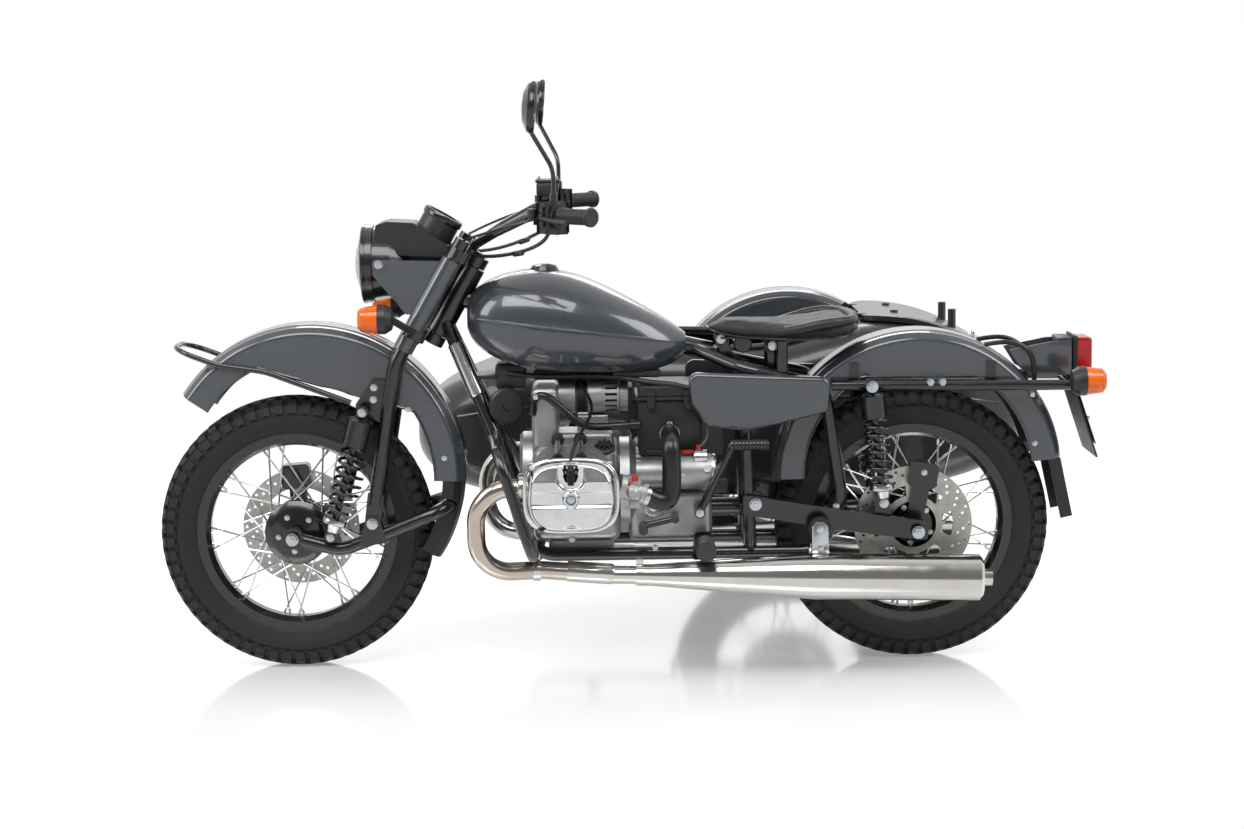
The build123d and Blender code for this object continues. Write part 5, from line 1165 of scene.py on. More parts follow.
@dataclass
class Engine(Trim):
    """Trim of the flat twin: covers, pushrod tubes, leads, oil filler, breather, intakes and starter."""

    crank_x: float = 853.0
    stagger: float = 40.0
    cylinder_z: float = 137.0
    pushrod_radius: float = 7.5
    throttle_radius: float = 24.0
    hose_radius: float = 23.0

    # columns: x, z of each pushrod tube at the crankcase
    PUSHRODS = ((888, 238), (832, 238))
    BREATHER = [(948, 84, 306), (950, 96, 322), (942, 104, 343), (922, 108, 350), (896, 108, 332), (866, 108, 305),
                (838, 106, 280), (808, 102, 267), (770, 98, 266), (716, 94, 268), (688, 88, 270)]
    LEAD = [(853, 366, 186), (854, 360, 214), (850, 330, 240), (838, 280, 262), (820, 220, 284), (800, 150, 312),
            (806, 100, 338), (828, 60, 362), (838, 30, 392)]
    WIRING = [(1030, 40, 400), (980, 52, 392), (900, 53, 388), (760, 53, 390), (660, 80, 372), (580, 84, 366),
              (556, 84, 354)]

    def twin(self, draw: Callable[[Form], None]) -> Form:
        """Draws something at the left cylinder and again, mirrored, at the right one behind it.

        Args:
            draw: Adds the left shape to a form.

        Returns:
            The form with both.
        """
        form = Form()
        draw(form)
        right = Form()
        draw(right)
        for vert in right.bm.verts:
            vert.co = Vector((vert.co.x - self.stagger, -vert.co.y, vert.co.z))
        mesh = bpy.data.meshes.new("twin")
        right.bm.to_mesh(mesh)
        right.bm.free()
        form.bm.from_mesh(mesh)
        bpy.data.meshes.remove(mesh)
        return form

    def build(self) -> None:
        """Builds and places all the trim."""
        self.build_covers()
        self.build_pushrods()
        self.build_ignition()
        self.build_filler()
        self.build_alternator()
        self.build_intakes()
        self.build_air_box()
        self.build_starter()

    def cover_depth(self, x: float, z: float) -> float:
        """Gives how far the rocker cover's face is sunk at a place round the bolt's line.

        Args:
            x: Distance ahead of the cylinder's middle.
            z: Height over it.

        Returns:
            The depth in millimetres.
        """
        def step(value: float, soft: float = 4.0) -> float:
            """Goes smoothly from 0 at minus soft to 1 at plus soft."""
            t = min(max((value + soft) / (2 * soft), 0.0), 1.0)
            return t * t * (3 - 2 * t)

        depth = 5.0 * step(17 - abs(z + 3)) + 0.34 * max(z - 40, 0.0) + 0.10 * max(-z - 46, 0.0)
        slot = math.hypot(x, min(z - 50, 0.0))
        depth = max(depth, 13.0 * step(33 - slot), 30.0 * step(16 - slot, 2.5))
        depth = max(depth, 12.0 * step(23 - math.hypot(x, z + 88), 3.0))
        bolt = math.hypot(x, z + 3)
        boss = step(19 - bolt, 2.0)
        return depth * (1 - boss) - 2.5 * boss + 6.0 * step(11 - bolt, 1.5)

    def build_covers(self) -> None:
        """Shapes the buffed rocker covers: flange, shell, sunk band, bolt boss, plug slot and scallop."""
        half_x, half_z, foot = 116.0, 92.0, 333.9
        # columns: share of the outline, height over the flange's foot, how much of the sinking reaches it
        skirt = [(1.0, 0.2, 0), (1.0, 8, 0), (0.985, 10.5, 0), (0.955, 11, 0), (0.94, 13, 0), (0.925, 22, 0),
                 (0.905, 32, 0.2)]
        crown = [(0.89 - 0.1 * k / 8, 37 + 13 * math.sin(math.pi / 2 * k / 8), 0.4 + 0.6 * k / 8) for k in range(9)]
        face = [(0.78 * (1 - k / 46), 50.0, 1.0) for k in range(1, 46)] + [(0.004, 50.0, 1.0)]
        steps = 200

        def cover(form: Form) -> None:
            """Adds the left cover."""
            rows = []
            for share, rise, sink in skirt + crown + face:
                row = []
                for k in range(steps):
                    across_x, across_z = squared(math.tau * k / steps, 0.62)
                    x, z = half_x * share * across_x, half_z * share * across_z
                    row.append(Vector((self.crank_x + x, foot + rise - sink * self.cover_depth(x, z),
                                       self.cylinder_z + z)))
                rows.append(row)
            form.grid(rows, close_columns=True, caps=True)

        self.put(self.twin(cover), "rocker_covers", POLISHED_ALLOY, ["valve_covers"], sharp_deg=50)

    def rods(self) -> list[tuple[Vector, Vector]]:
        """Gives both ends of each pushrod tube of the left cylinder."""
        return [(Vector((x, 108, z)), Vector((x - 3, 306, z - 22))) for x, z in self.PUSHRODS]

    def build_pushrods(self) -> None:
        """Builds the bright tubes with their rubber seals."""
        def tubes(form: Form) -> None:
            """Adds the two tubes of the left cylinder."""
            r = self.pushrod_radius
            for start, end in self.rods():
                long = (end - start).length
                form.lathe([(0, 0), (0, r), (long, r), (long, 0)], start, end - start, 20)

        def seals(form: Form) -> None:
            """Adds the seals at both ends of the tubes."""
            for start, end in self.rods():
                for spot, way in ((start, end - start), (end, start - end)):
                    form.lathe([(-6, 0), (-6, 15), (8, 16.5), (12, 15), (14, 10), (26, 9.5), (27, 0)], spot, way, 24)

        self.put(self.twin(tubes), "pushrod_tubes", ZINC)
        self.put(self.twin(seals), "pushrod_seals", RUBBER)

    def build_ignition(self) -> None:
        """Builds the plug leads, the coil on the backbone, and the regulator and horn on the down tubes."""
        def leads(form: Form) -> None:
            """Adds one cap and its lead."""
            form.tube(self.LEAD, 4.2, 10)
            form.lathe([(-16, 0), (-16, 9), (6, 12), (20, 12), (24, 8), (40, 6), (41, 0)], (853, 362, 180),
                       (0, -0.28, 1), 20)

        self.put(self.twin(leads), "plug_leads", HOSE_RUBBER)
        coil = Form()
        coil.block((842, 0, 390), (210, 96, 24), 6)
        coil.block((690, 40, 392), (120, 50, 18), 5)
        coil.tube(self.WIRING, 7.0, 12)
        coil.block((1004, 0, 388), (76, 96, 62), 8)
        coil.block((1073, 0, 388), (70, 100, 10), 3)
        coil.block((842, 0, 450), (60, 8, 110), 3)
        coil.lathe([(0, 0), (0, 16), (8, 40), (16, 46), (24, 46), (28, 40), (28, 12), (34, 10), (34, 0)],
                   (1022, 56, 316), (-0.35, 0.85, 0.1), 40)
        coil.tube([(1010, 50, 318), (1006, 36, 340), (1004, 20, 366)], 7.0, 12)
        self.put(coil, "ignition_coil_horn_and_loom", BLACK_PLASTIC)
        breather = Form()
        breather.tube(self.BREATHER, 9.6, 16)
        breather.lathe([(-14, 0), (-14, 11), (14, 11), (18, 9), (18, 0)], (949, 86, 312), (0.1, 0.5, 0.86), 20)
        breather.lathe([(-20, 0), (-20, 12), (4, 12), (6, 9), (6, 0)], (704, 93, 268.5), (1, 0.1, 0), 20)
        self.put(breather, "breather_hose", HOSE_RUBBER)

    def build_filler(self) -> None:
        """Builds the oil filler's cast tower and its grooved cap."""
        axis = Vector((0, 0.42, 0.9))
        foot = Vector((772, 106, 150))
        tower = Form()
        tower.lathe([(0, 0), (0, 30), (60, 25), (70, 25), (72, 23), (72, 0)], foot, axis, 32)
        tower.lathe([(0, 0), (0, 24), (14, 24), (18, 18), (20, 0)], (653, 88, 62), (0, 1, 0), 28)
        self.put(tower, "oil_filler_tower", CAST_ALLOY)
        cap = Form()
        top = foot + axis.normalized() * 72
        cap.lathe([(0, 0), (0, 25), (4, 26), (8, 26), (10, 22), (12, 13), (12, 0)], top, axis, 32)
        for k in range(4):
            cap.block(top + axis.normalized() * 15, (38, 6, 8), 1.5, turned(axis, math.pi * k / 4))
        self.put(cap, "oil_filler_cap", BLACK_PLASTIC)

    def build_alternator(self) -> None:
        """Winds the copper that shows through the alternator's slots, and the black drive end."""
        coil = Form()
        rows = []
        for k in range(13):
            rows += [(36 + k * 2.6, 40.2), (37.3 + k * 2.6, 42.0)]
        coil.lathe([(36, 0)] + rows + [(70, 0)], (702, 0, 332), (1, 0, 0), 40)
        self.put(coil, "alternator_windings", COPPER)
        drive = Form()
        drive.lathe([(113, 30), (113, 42), (117, 43), (121, 40), (126, 43), (131, 40), (136, 43), (139, 42), (139, 30)],
                    (702, 0, 332), (1, 0, 0), 40, closed=True)
        self.put(drive, "alternator_drive_end", BLACK_PLASTIC)

    def build_intakes(self) -> None:
        """Builds the rubber elbows, the throttle bodies and their clamps."""
        box, bend = (610.7, 112, 250), (610.7, 262, 250)
        throat, port = Vector((670.7, 286, 124)), Vector((740.7, 300, 150))
        run = port - throat

        def elbow(form: Form) -> None:
            """Adds the hose from the filter box to the throttle body."""
            form.tube([box, (610.7, 190, 252), bend, (610.7, 268, 200), (610.7, 270, 112), (640, 276, 106),
                       tuple(throat), tuple(throat + run * 0.1)], self.hose_radius, 24)

        def body(form: Form) -> None:
            """Adds the throttle body with its shaft housing and the flange at the port."""
            r = self.throttle_radius
            long = run.length
            form.lathe([(-2, 0), (-2, r), (10, r), (12, r + 3), (20, r + 3), (22, r + 1), (long - 16, r + 2),
                        (long - 14, r + 8), (long, r + 8), (long, 0)], throat, run, 32)
            middle = throat + run * 0.5
            form.lathe([(-34, 0), (-34, 13), (-30, 15), (30, 15), (34, 11), (40, 11), (42, 9), (42, 0)], middle,
                       (0, 1, 0), 24)
            form.block(middle + Vector((0, 4, 26)), (40, 30, 26), 3)
            form.block(middle + Vector((-4, 8, -28)), (26, 22, 22), 3)

        def clamps(form: Form) -> None:
            """Adds the bands round the hose's two ends, each with its screw."""
            for spot, way in ((throat + run.normalized() * 2, run), (Vector((610.7, 124, 250)), Vector((0, 1, 0)))):
                form.lathe([(-5, 22), (-5, 24.6), (5, 24.6), (5, 22)], spot, way, 32, closed=True)
                form.block(spot + Vector((0, 4, 27)), (14, 9, 8), 1)

        self.put(self.twin(elbow), "intake_elbows", HOSE_RUBBER, ["intakes"])
        self.put(self.twin(body), "throttle_bodies", CAST_ALLOY)
        self.put(self.twin(clamps), "hose_clamps", ZINC)
        plugs = Form()
        plugs.block((700, 314, 172), (16, 12, 14), 2)
        plugs.block((716, 316, 160), (10, 8, 10), 1.5)
        self.put(plugs, "injector_plug", RED_BOOT)

    def build_air_box(self) -> None:
        """Builds the filter box with its lid, the flange between them and four clips."""
        box = Form()
        box.block((609, 0, 260), (158, 180, 142), 9)
        box.block((609, 0, 348), (156, 178, 36), 8)
        box.block((609, 0, 333), (172, 194, 8), 2.5)
        box.block((609, 0, 198), (120, 190, 14), 4)
        for x in (564, 655):
            box.block((x, 99, 330), (20, 5, 46), 1.5)
            box.block((x, 103, 318), (14, 6, 14), 1.5)
            box.block((x, 102, 346), (24, 8, 7), 1.5)
        box.mirror()
        self.put(box, "filter_box", BLACK_PLASTIC, ["air_box"])

    def build_starter(self) -> None:
        """Builds the starter's end rings, its red terminal boots and its cable."""
        rings = Form()
        for x in (503, 592):
            rings.lathe([(-5, 40), (-5, 45.2), (-3, 46), (3, 46), (5, 45.2), (5, 40)], (x, 112, 153), (1, 0, 0), 40,
                        closed=True)
        rings.lathe([(0, 0), (0, 20), (30, 20), (34, 16), (34, 0)], (520, 128, 190), (1, 0, 0), 24)
        self.put(rings, "starter_rings", POLISHED_ALLOY)
        boots = Form()
        boots.lathe([(0, 0), (0, 9), (10, 8), (16, 5), (22, 4), (22, 0)], (540, 124, 200), (0.1, 0.1, 1), 16)
        boots.block((566, 122, 203), (34, 16, 10), 3)
        self.put(boots, "starter_terminal_boots", RED_BOOT)
        cable = Form()
        cable.tube([(538, 126, 216), (524, 122, 224), (514, 114, 250), (520, 104, 280), (540, 92, 300)], 2.6, 8)
        self.put(cable, "starter_cable", BARE_CABLE)


@dataclass
class Exhaust(Trim):
    """Trim of the exhaust: port rings, clamps, sleeve and the bright hanger of each silencer."""

    pipe_radius: float = 22.0

    def build(self) -> None:
        """Builds and places the clamps and the hangers."""
        form = Form()
        r = self.pipe_radius
        start, end = Vector((868, 231, -69.5)), Vector((756, 225, -80))
        long = (end - start).length
        form.lathe([(0, r), (0, r + 2.5), (3, r + 3.5), (long - 3, r + 3.5), (long, r + 2.5), (long, r)], start,
                   end - start, 32, closed=True)
        for spot, way in (((942, 240, -63.6), (1, 0.06, 0)), ((690, 224, -83), (1, 0, 0.04))):
            form.lathe([(-9, r), (-9, r + 5), (9, r + 5), (9, r)], spot, way, 32, closed=True)
            form.block(Vector(spot) + Vector((0, 0, 34)), (18, 10, 22), 2)
        form.lathe([(-2, 24), (-2, 34), (10, 36), (14, 30), (14, 24)], (968, 300, 150), (1, 0, 0), 32, closed=True)
        form.mirror()
        self.put(form, "exhaust_clamps_and_sleeves", STAINLESS)
        hanger = Form()
        hanger.plate([(228, -50), (262, -50), (266, -40), (266, 26), (258, 36), (236, 36), (226, 26), (224, -40)], 196,
                     201, 1.5)
        hanger.mirror()
        self.put(hanger, "silencer_hangers", ZINC)
        rubber = Form()
        rubber.lathe([(0, 0), (0, 26), (4, 28), (14, 28), (18, 26), (18, 0)], (246, 178, 20), (0, 1, 0), 28)
        rubber.mirror()
        self.put(rubber, "hanger_bushes", RUBBER)


class Surface:
    """The shown skin of some pieces, which tells where a straight line meets it."""

    def __init__(self, pieces: Iterable[bpy.types.Object]) -> None:
        """Gathers the faces of the pieces."""
        corners: list[Vector] = []
        faces: list[list[int]] = []
        for piece in pieces:
            start = len(corners)
            corners += [vert.co.copy() for vert in piece.data.vertices]
            faces += [[start + k for k in face.vertices] for face in piece.data.polygons]
        self.tree = BVHTree.FromPolygons(corners, faces)

    @classmethod
    def of_nodes(cls, names: Sequence[str]) -> Surface:
        """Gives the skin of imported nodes."""
        return cls(bpy.data.objects[name] for name in names)

    @classmethod
    def of_body(cls, body: Body) -> Surface:
        """Gives the skin of everything that shows on a body."""
        return cls(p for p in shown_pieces() if p.type == "MESH" and body_of(p) == [body.value])

    def meet(self, start: Vector, way: Vector, reach_mm: float) -> Vector | None:
        """Gives the first point that a line meets, or nothing.

        Args:
            start: Where the line starts, in the frame.
            way: Its direction.
            reach_mm: How far it goes.

        Returns:
            The point, or None.
        """
        return self.tree.ray_cast(start, way.normalized(), reach_mm * MM)[0]


@dataclass
class FrontEnd(Trim):
    """Trim of the steered end: grips, switches, cables, lamp, dial and mirrors."""

    bar_end: Point = (798.0, 398.0, 803.0)
    bar_bend: Point = (898.0, 296.0, 803.0)
    lamp_face: Point = (1359.0, 0.0, 672.0)
    dial_base: Point = (1198.0, 0.0, 728.0)
    mirror_middle: Point = (922.0, 398.0, 1060.0)

    CARRIER = Body.STEERING
    STEM_WAY = Vector((-0.5, 0.0, 0.866))
    LOOM = [(886, 308, 786), (896, 296, 752), (930, 272, 726), (985, 200, 706), (1045, 122, 694), (1100, 62, 694),
            (1150, 24, 706)]
    LEVER_CABLE = [(912, 318, 800), (962, 300, 786), (1040, 222, 762), (1108, 122, 736), (1146, 52, 714),
                   (1160, 26, 708)]

    def grip_way(self) -> Vector:
        """Gives the way from the bar's last bend to its tip."""
        return Vector(self.bar_end) - Vector(self.bar_bend)

    def along(self, share: float) -> Vector:
        """Gives a point on the bar's straight end."""
        return Vector(self.bar_bend) + self.grip_way() * share

    def build(self) -> None:
        """Builds and places all the trim."""
        self.build_grips()
        self.build_switches()
        self.build_cables()
        self.build_lamp()
        self.build_dial()
        self.build_mirrors()

    def build_grips(self) -> None:
        """Turns the ribbed grips with their flared ends."""
        form = Form()
        long = self.grip_way().length
        profile = [(long * 0.33, 12), (long * 0.33, 22), (long * 0.35, 22.5), (long * 0.37, 18)]
        count = 15
        for k in range(count):
            d = long * (0.39 + 0.57 * k / count)
            profile += [(d, 17.6), (d + 1.2, 18.8), (d + 2.6, 18.8), (d + 3.6, 17.6)]
        profile += [(long * 0.98, 18.5), (long * 1.0, 22.6), (long * 1.05, 22.8), (long * 1.068, 20), (long * 1.068, 0)]
        form.lathe(profile, self.bar_bend, self.grip_way(), 32)
        form.mirror()
        self.put(form, "ribbed_grips", RUBBER, sharp_deg=40)

    def build_switches(self) -> None:
        """Builds the switch cases with their buttons, the lever clamps and the brake's fluid box."""
        way = self.grip_way().normalized()
        turn = Matrix((way, Vector((-way.y, way.x, 0)), Vector((0, 0, 1)))).transposed()
        form = Form()
        form.block(self.along(0.13) + Vector((0, 0, -4)), (30, 66, 62), 6, turn)
        form.block(self.along(0.13) + Vector((-14, -12, -30)), (22, 30, 22), 4, turn)
        form.block(self.along(-0.10), (18, 40, 36), 4, turn)
        for lift, back in ((16, 34), (0, 36), (-18, 34)):
            form.block(self.along(0.13) + turn @ Vector((0, -back, lift)), (14, 10, 9), 2, turn)
            form.block(self.along(0.13) + turn @ Vector((0, back, lift)), (12, 8, 8), 2, turn)
        form.lathe([(-13, 0), (-13, 11), (13, 11), (13, 0)], self.along(-0.10) + Vector((26, 22, 4)), (0, 0, 1), 24)
        form.mirror()
        form.block(Vector((910, -284, 838)), (58, 66, 34), 5)
        form.block(Vector((910, -284, 859)), (63, 71, 9), 3)
        self.put(form, "switch_cases", BLACK_PLASTIC)
        bolts = [(self.bench.at((910 + dx, -284 + dy, 864)), Vector((0, 0, 1)), 7.0)
                 for dx in (-23, 23) for dy in (-26, 26)]
        for side in (1, -1):
            for share in (0.13, -0.10):
                spot = self.along(share) + Vector((0, 0, 27 if share > 0 else 18))
                bolts.append((self.bench.at((spot.x, spot.y * side, spot.z)), Vector((0, 0, 1)), 9.0))
        place(Repeat.bolts(bolts, ZINC), "switch_screws", ZINC, Body.STEERING)

    def build_cables(self) -> None:
        """Runs the wiring and the lever cables from the bar into the lamp's cowl."""
        form = Form()
        form.tube(self.LOOM, 4.6, 10)
        form.tube(self.LEVER_CABLE, 3.2, 10)
        form.lathe([(-20, 0), (-20, 5), (-16, 7), (16, 7), (20, 5), (20, 0)], (972, 216, 708.5), (-0.6, 0.78, 0.14), 16)
        form.mirror()
        self.put(form, "bar_cables", HOSE_RUBBER)

    def build_lamp(self) -> None:
        """Builds the bright bowl and the bulb behind the lamp's glass, and its polished rim."""
        bowl = Form()
        bowl.lathe([(0, 85.5), (6, 83), (20, 75), (38, 60), (52, 42), (60, 22), (62, 0), (64, 0), (64, 24), (56, 46),
                    (42, 64), (22, 79), (6, 85.5)], self.lamp_face, (-1, 0, 0), 64)
        self.put(bowl, "lamp_reflector", MIRROR_SILVER)
        bulb = Form()
        bulb.lathe([(60, 0), (60, 13), (50, 13), (46, 8.5), (24, 8.5), (17, 6), (14, 0)], self.lamp_face, (-1, 0, 0),
                   24)
        self.put(bulb, "lamp_bulb", LAMP_GLASS)
        rim = Form()
        face = Vector(self.lamp_face) + Vector((6, 0, 0))
        rim.lathe([(-2.5, 88), (-2.5, 95), (0, 98.5), (6, 98.8), (10, 97.4), (10, 96), (2, 90)], face, (-1, 0, 0), 72,
                  closed=True)
        self.put(rim, "lamp_rim", GLOSS_PLASTIC, sharp_deg=40)

    def build_dial(self) -> None:
        """Builds the instrument's face, its marks and needle, and the rim round its glass."""
        base, way = Vector(self.dial_base), self.STEM_WAY.normalized()
        face = Form()
        face.lathe([(68.1, 0), (68.1, 41.6), (69, 41.6), (69, 0)], base, way, 48)
        self.put(face, "dial_face", BLACK_PLASTIC)
        marks = Form()

        def mark(angle_deg: float, lift: float, reach: float, size: Point) -> None:
            """Adds a mark or the needle, with its middle at a reach from the dial's."""
            turn = turned(way, math.radians(angle_deg))
            marks.block(base + way * lift + turn.col[0] * reach, size, 0.0, turn)

        for k in range(28):
            long = 7.0 if k % 3 == 0 else 4.0
            mark(225 - 270 * k / 27, 69.3, 38 - long / 2, (long, 1.3, 0.6))
        mark(200, 71, 12, (36, 1.8, 0.8))
        self.put(marks, "dial_marks", GAUGE_WHITE)
        rim = Form()
        rim.lathe([(58, 48.3), (58, 50.6), (61, 52), (71, 52), (75, 50), (75.6, 46), (74.2, 42.2), (74, 42.2),
                   (74, 48.3)],
                  base, way, 56, closed=True)
        self.put(rim, "dial_rim", GLOSS_PLASTIC, sharp_deg=40)

    def build_mirrors(self) -> None:
        """Sets the glass and the rim into the back of each mirror."""
        way = Vector((-1, 0, -0.08))
        glass, rim = Form(), Form()
        glass.lathe([(-0.5, 0), (-0.5, 57), (1.0, 57), (1.0, 0)], self.mirror_middle, way, 56)
        glass.mirror()
        rim.lathe([(-8, 60), (-8, 62.6), (0, 63), (2.6, 61.5), (2.6, 57.2), (0, 57)], self.mirror_middle, way, 56,
                  closed=True)
        rim.mirror()
        self.put(glass, "mirror_glass", MIRROR_SILVER)
        self.put(rim, "mirror_rims", GLOSS_PLASTIC, sharp_deg=40)


@dataclass
class Pad:
    """A stuffed pad: rounded rings along its length, swelled by a short cloth run and sewn down in lines."""

    name: str
    rings: list[tuple[Vector, Vector, Vector]]
    square: float = 0.5
    voxel_mm: float = 5.0
    cap_mm: float = 7.0
    fill: float = 0.6
    sides: int = 40
    pressure: float = 4.0
    cloth_frames: int = 20

    def blank(self, bench: Bench) -> bpy.types.Mesh:
        """Gives the plain closed shape before it is stuffed."""
        form = Form()
        rows = []
        for middle, half_u, half_v in self.rings:
            row = []
            for k in range(self.sides):
                c, s = squared(math.tau * k / self.sides, self.square)
                row.append(middle + half_u * c + half_v * s)
            rows.append(row)
        form.grid(rows, close_columns=True, caps=True)
        return form.mesh(self.name, bench, 180.0)

    def stuffed(self, bench: Bench) -> bpy.types.Mesh:
        """Gives the pad after its stuffing has swelled it.

        Args:
            bench: Where the drawing lies in the frame.

        Returns:
            The swelled mesh.
        """
        scene = bpy.context.scene
        blank = bpy.data.objects.new(self.name, self.blank(bench))
        scene.collection.objects.link(blank)
        remesh = blank.modifiers.new("even_skin", "REMESH")
        remesh.mode, remesh.voxel_size = "VOXEL", self.voxel_mm * MM
        skin = bpy.data.meshes.new_from_object(blank.evaluated_get(bpy.context.evaluated_depsgraph_get()))
        bpy.data.objects.remove(blank)
        cover = bpy.data.objects.new(self.name, skin)
        scene.collection.objects.link(cover)
        start = [vert.co.copy() for vert in skin.vertices]
        cloth = cover.modifiers.new("cover", "CLOTH")
        cloth.settings.use_pressure = True
        cloth.settings.uniform_pressure_force = self.pressure
        cloth.settings.effector_weights.gravity = 0.0
        for frame in range(1, self.cloth_frames + 1):
            scene.frame_set(frame)
        swelled = bpy.data.meshes.new_from_object(cover.evaluated_get(bpy.context.evaluated_depsgraph_get()))
        scene.frame_set(1)
        bpy.data.objects.remove(cover)
        cap = self.cap_mm * MM
        for vert, home in zip(swelled.vertices, start):
            move = vert.co - home
            if move.length > cap:
                vert.co = home + move.normalized() * cap
        return swelled

    @staticmethod
    def sew(mesh: bpy.types.Mesh, bench: Bench, lines: Sequence[float], facing: Point, depth_mm: float = 6.0,
            width_mm: float = 7.0) -> None:
        """Draws the cover in along sewn channels that run square to the machine's width.

        Args:
            mesh: The pad's mesh, in the frame.
            bench: Where the drawing lies in the frame.
            lines: The channels' y values in the drawing.
            facing: Which side of the pad is sewn.
            depth_mm: Depth of a channel.
            width_mm: Its half width.
        """
        way = Vector(facing).normalized()
        for vert in mesh.vertices:
            share = max(vert.normal.dot(way), 0.0)
            y = bench.drawn(vert.co).y
            pull = sum(math.exp(-((y - line) / width_mm) ** 2) for line in lines)
            vert.co -= vert.normal * (depth_mm * MM * pull * min(share * 1.6, 1.0))

    def place(self, bench: Bench, body: Body, finish: Finish, stands_for: Sequence[str] = (),
              lines: Sequence[float] = (), facing: Point = (0, 0, 1)) -> bpy.types.Object:
        """Builds, sews and places the pad.

        Args:
            bench: Where the drawing lies in the frame.
            body: The body that carries it.
            finish: Its cover.
            stands_for: The nodes that it stands for.
            lines: Sewn channels.
            facing: The side that is sewn.

        Returns:
            The pad's object.
        """
        mesh = self.stuffed(bench)
        self.sew(mesh, bench, lines, facing)
        mesh.shade_smooth()
        pad = place(mesh, self.name, finish, body, stands_for)
        fine = pad.modifiers.new("fine_skin", "SUBSURF")
        fine.levels = fine.render_levels = 1
        return pad


@dataclass
class Saddle(Trim):
    """Sprung solo saddle: stuffed hide top with a welt, a rolled cantle, its pan and the hinge arms."""

    # columns: x, half width, underside, top
    ROWS = ((512, 22, 497, 509), (500, 40, 490, 515), (470, 58, 482, 520), (430, 74, 475, 519), (390, 90, 474, 517),
            (340, 118, 474, 515), (290, 148, 475, 516), (250, 160, 479, 519), (210, 164, 480, 526),
            (170, 148, 483, 528), (148, 118, 489, 524), (138, 84, 495, 516))

    def build(self) -> None:
        """Builds and places the saddle's pieces."""
        rings = [(Vector((x, 0, (low + top) / 2)), Vector((0, half - 4, 0)), Vector((0, 0, (top - low) / 2 - 2)))
                 for x, half, low, top in self.ROWS]
        Pad("saddle_top", rings, square=0.55, cap_mm=5.0).place(self.bench, Body.CHASSIS, HIDE, ["saddle"])
        welt = Form()
        left = [(x, half - 2.0, low + 5) for x, half, low, _ in self.ROWS]
        welt.tube(left + [(x, -y, z) for x, y, z in reversed(left)], 3.2, 8, closed=True)
        self.put(welt, "saddle_welt", HOSE_RUBBER)
        roll = Form()
        side = [(322, 124, 500), (290, 146, 506), (250, 158, 517), (210, 156, 523), (172, 132, 524), (152, 84, 523),
                (146, 0, 523)]
        roll.tube(side + [(x, -y, z) for x, y, z in reversed(side[:-1])], 12.5, 16)
        self.put(roll, "saddle_cantle", SMOOTH_HIDE)
        arms = Form()
        arms.plate([(492, 484), (478, 488), (464, 480), (462, 462), (448, 436), (424, 404), (416, 392), (438, 392),
                    (452, 410), (476, 440), (492, 462)], 36, 43, 1.5)
        arms.plate([(364, 474), (338, 474), (338, 388), (364, 388)], 62, 69, 1.5)
        arms.lathe([(-22, 0), (-22, 20), (-18, 23), (18, 23), (22, 20), (22, 0)], (424, 30, 462), (0, 1, 0), 28)
        arms.mirror()
        arms.block((330, 0, 478), (300, 130, 5), 2)
        self.put(arms, "saddle_arms", BLACK_ENAMEL)


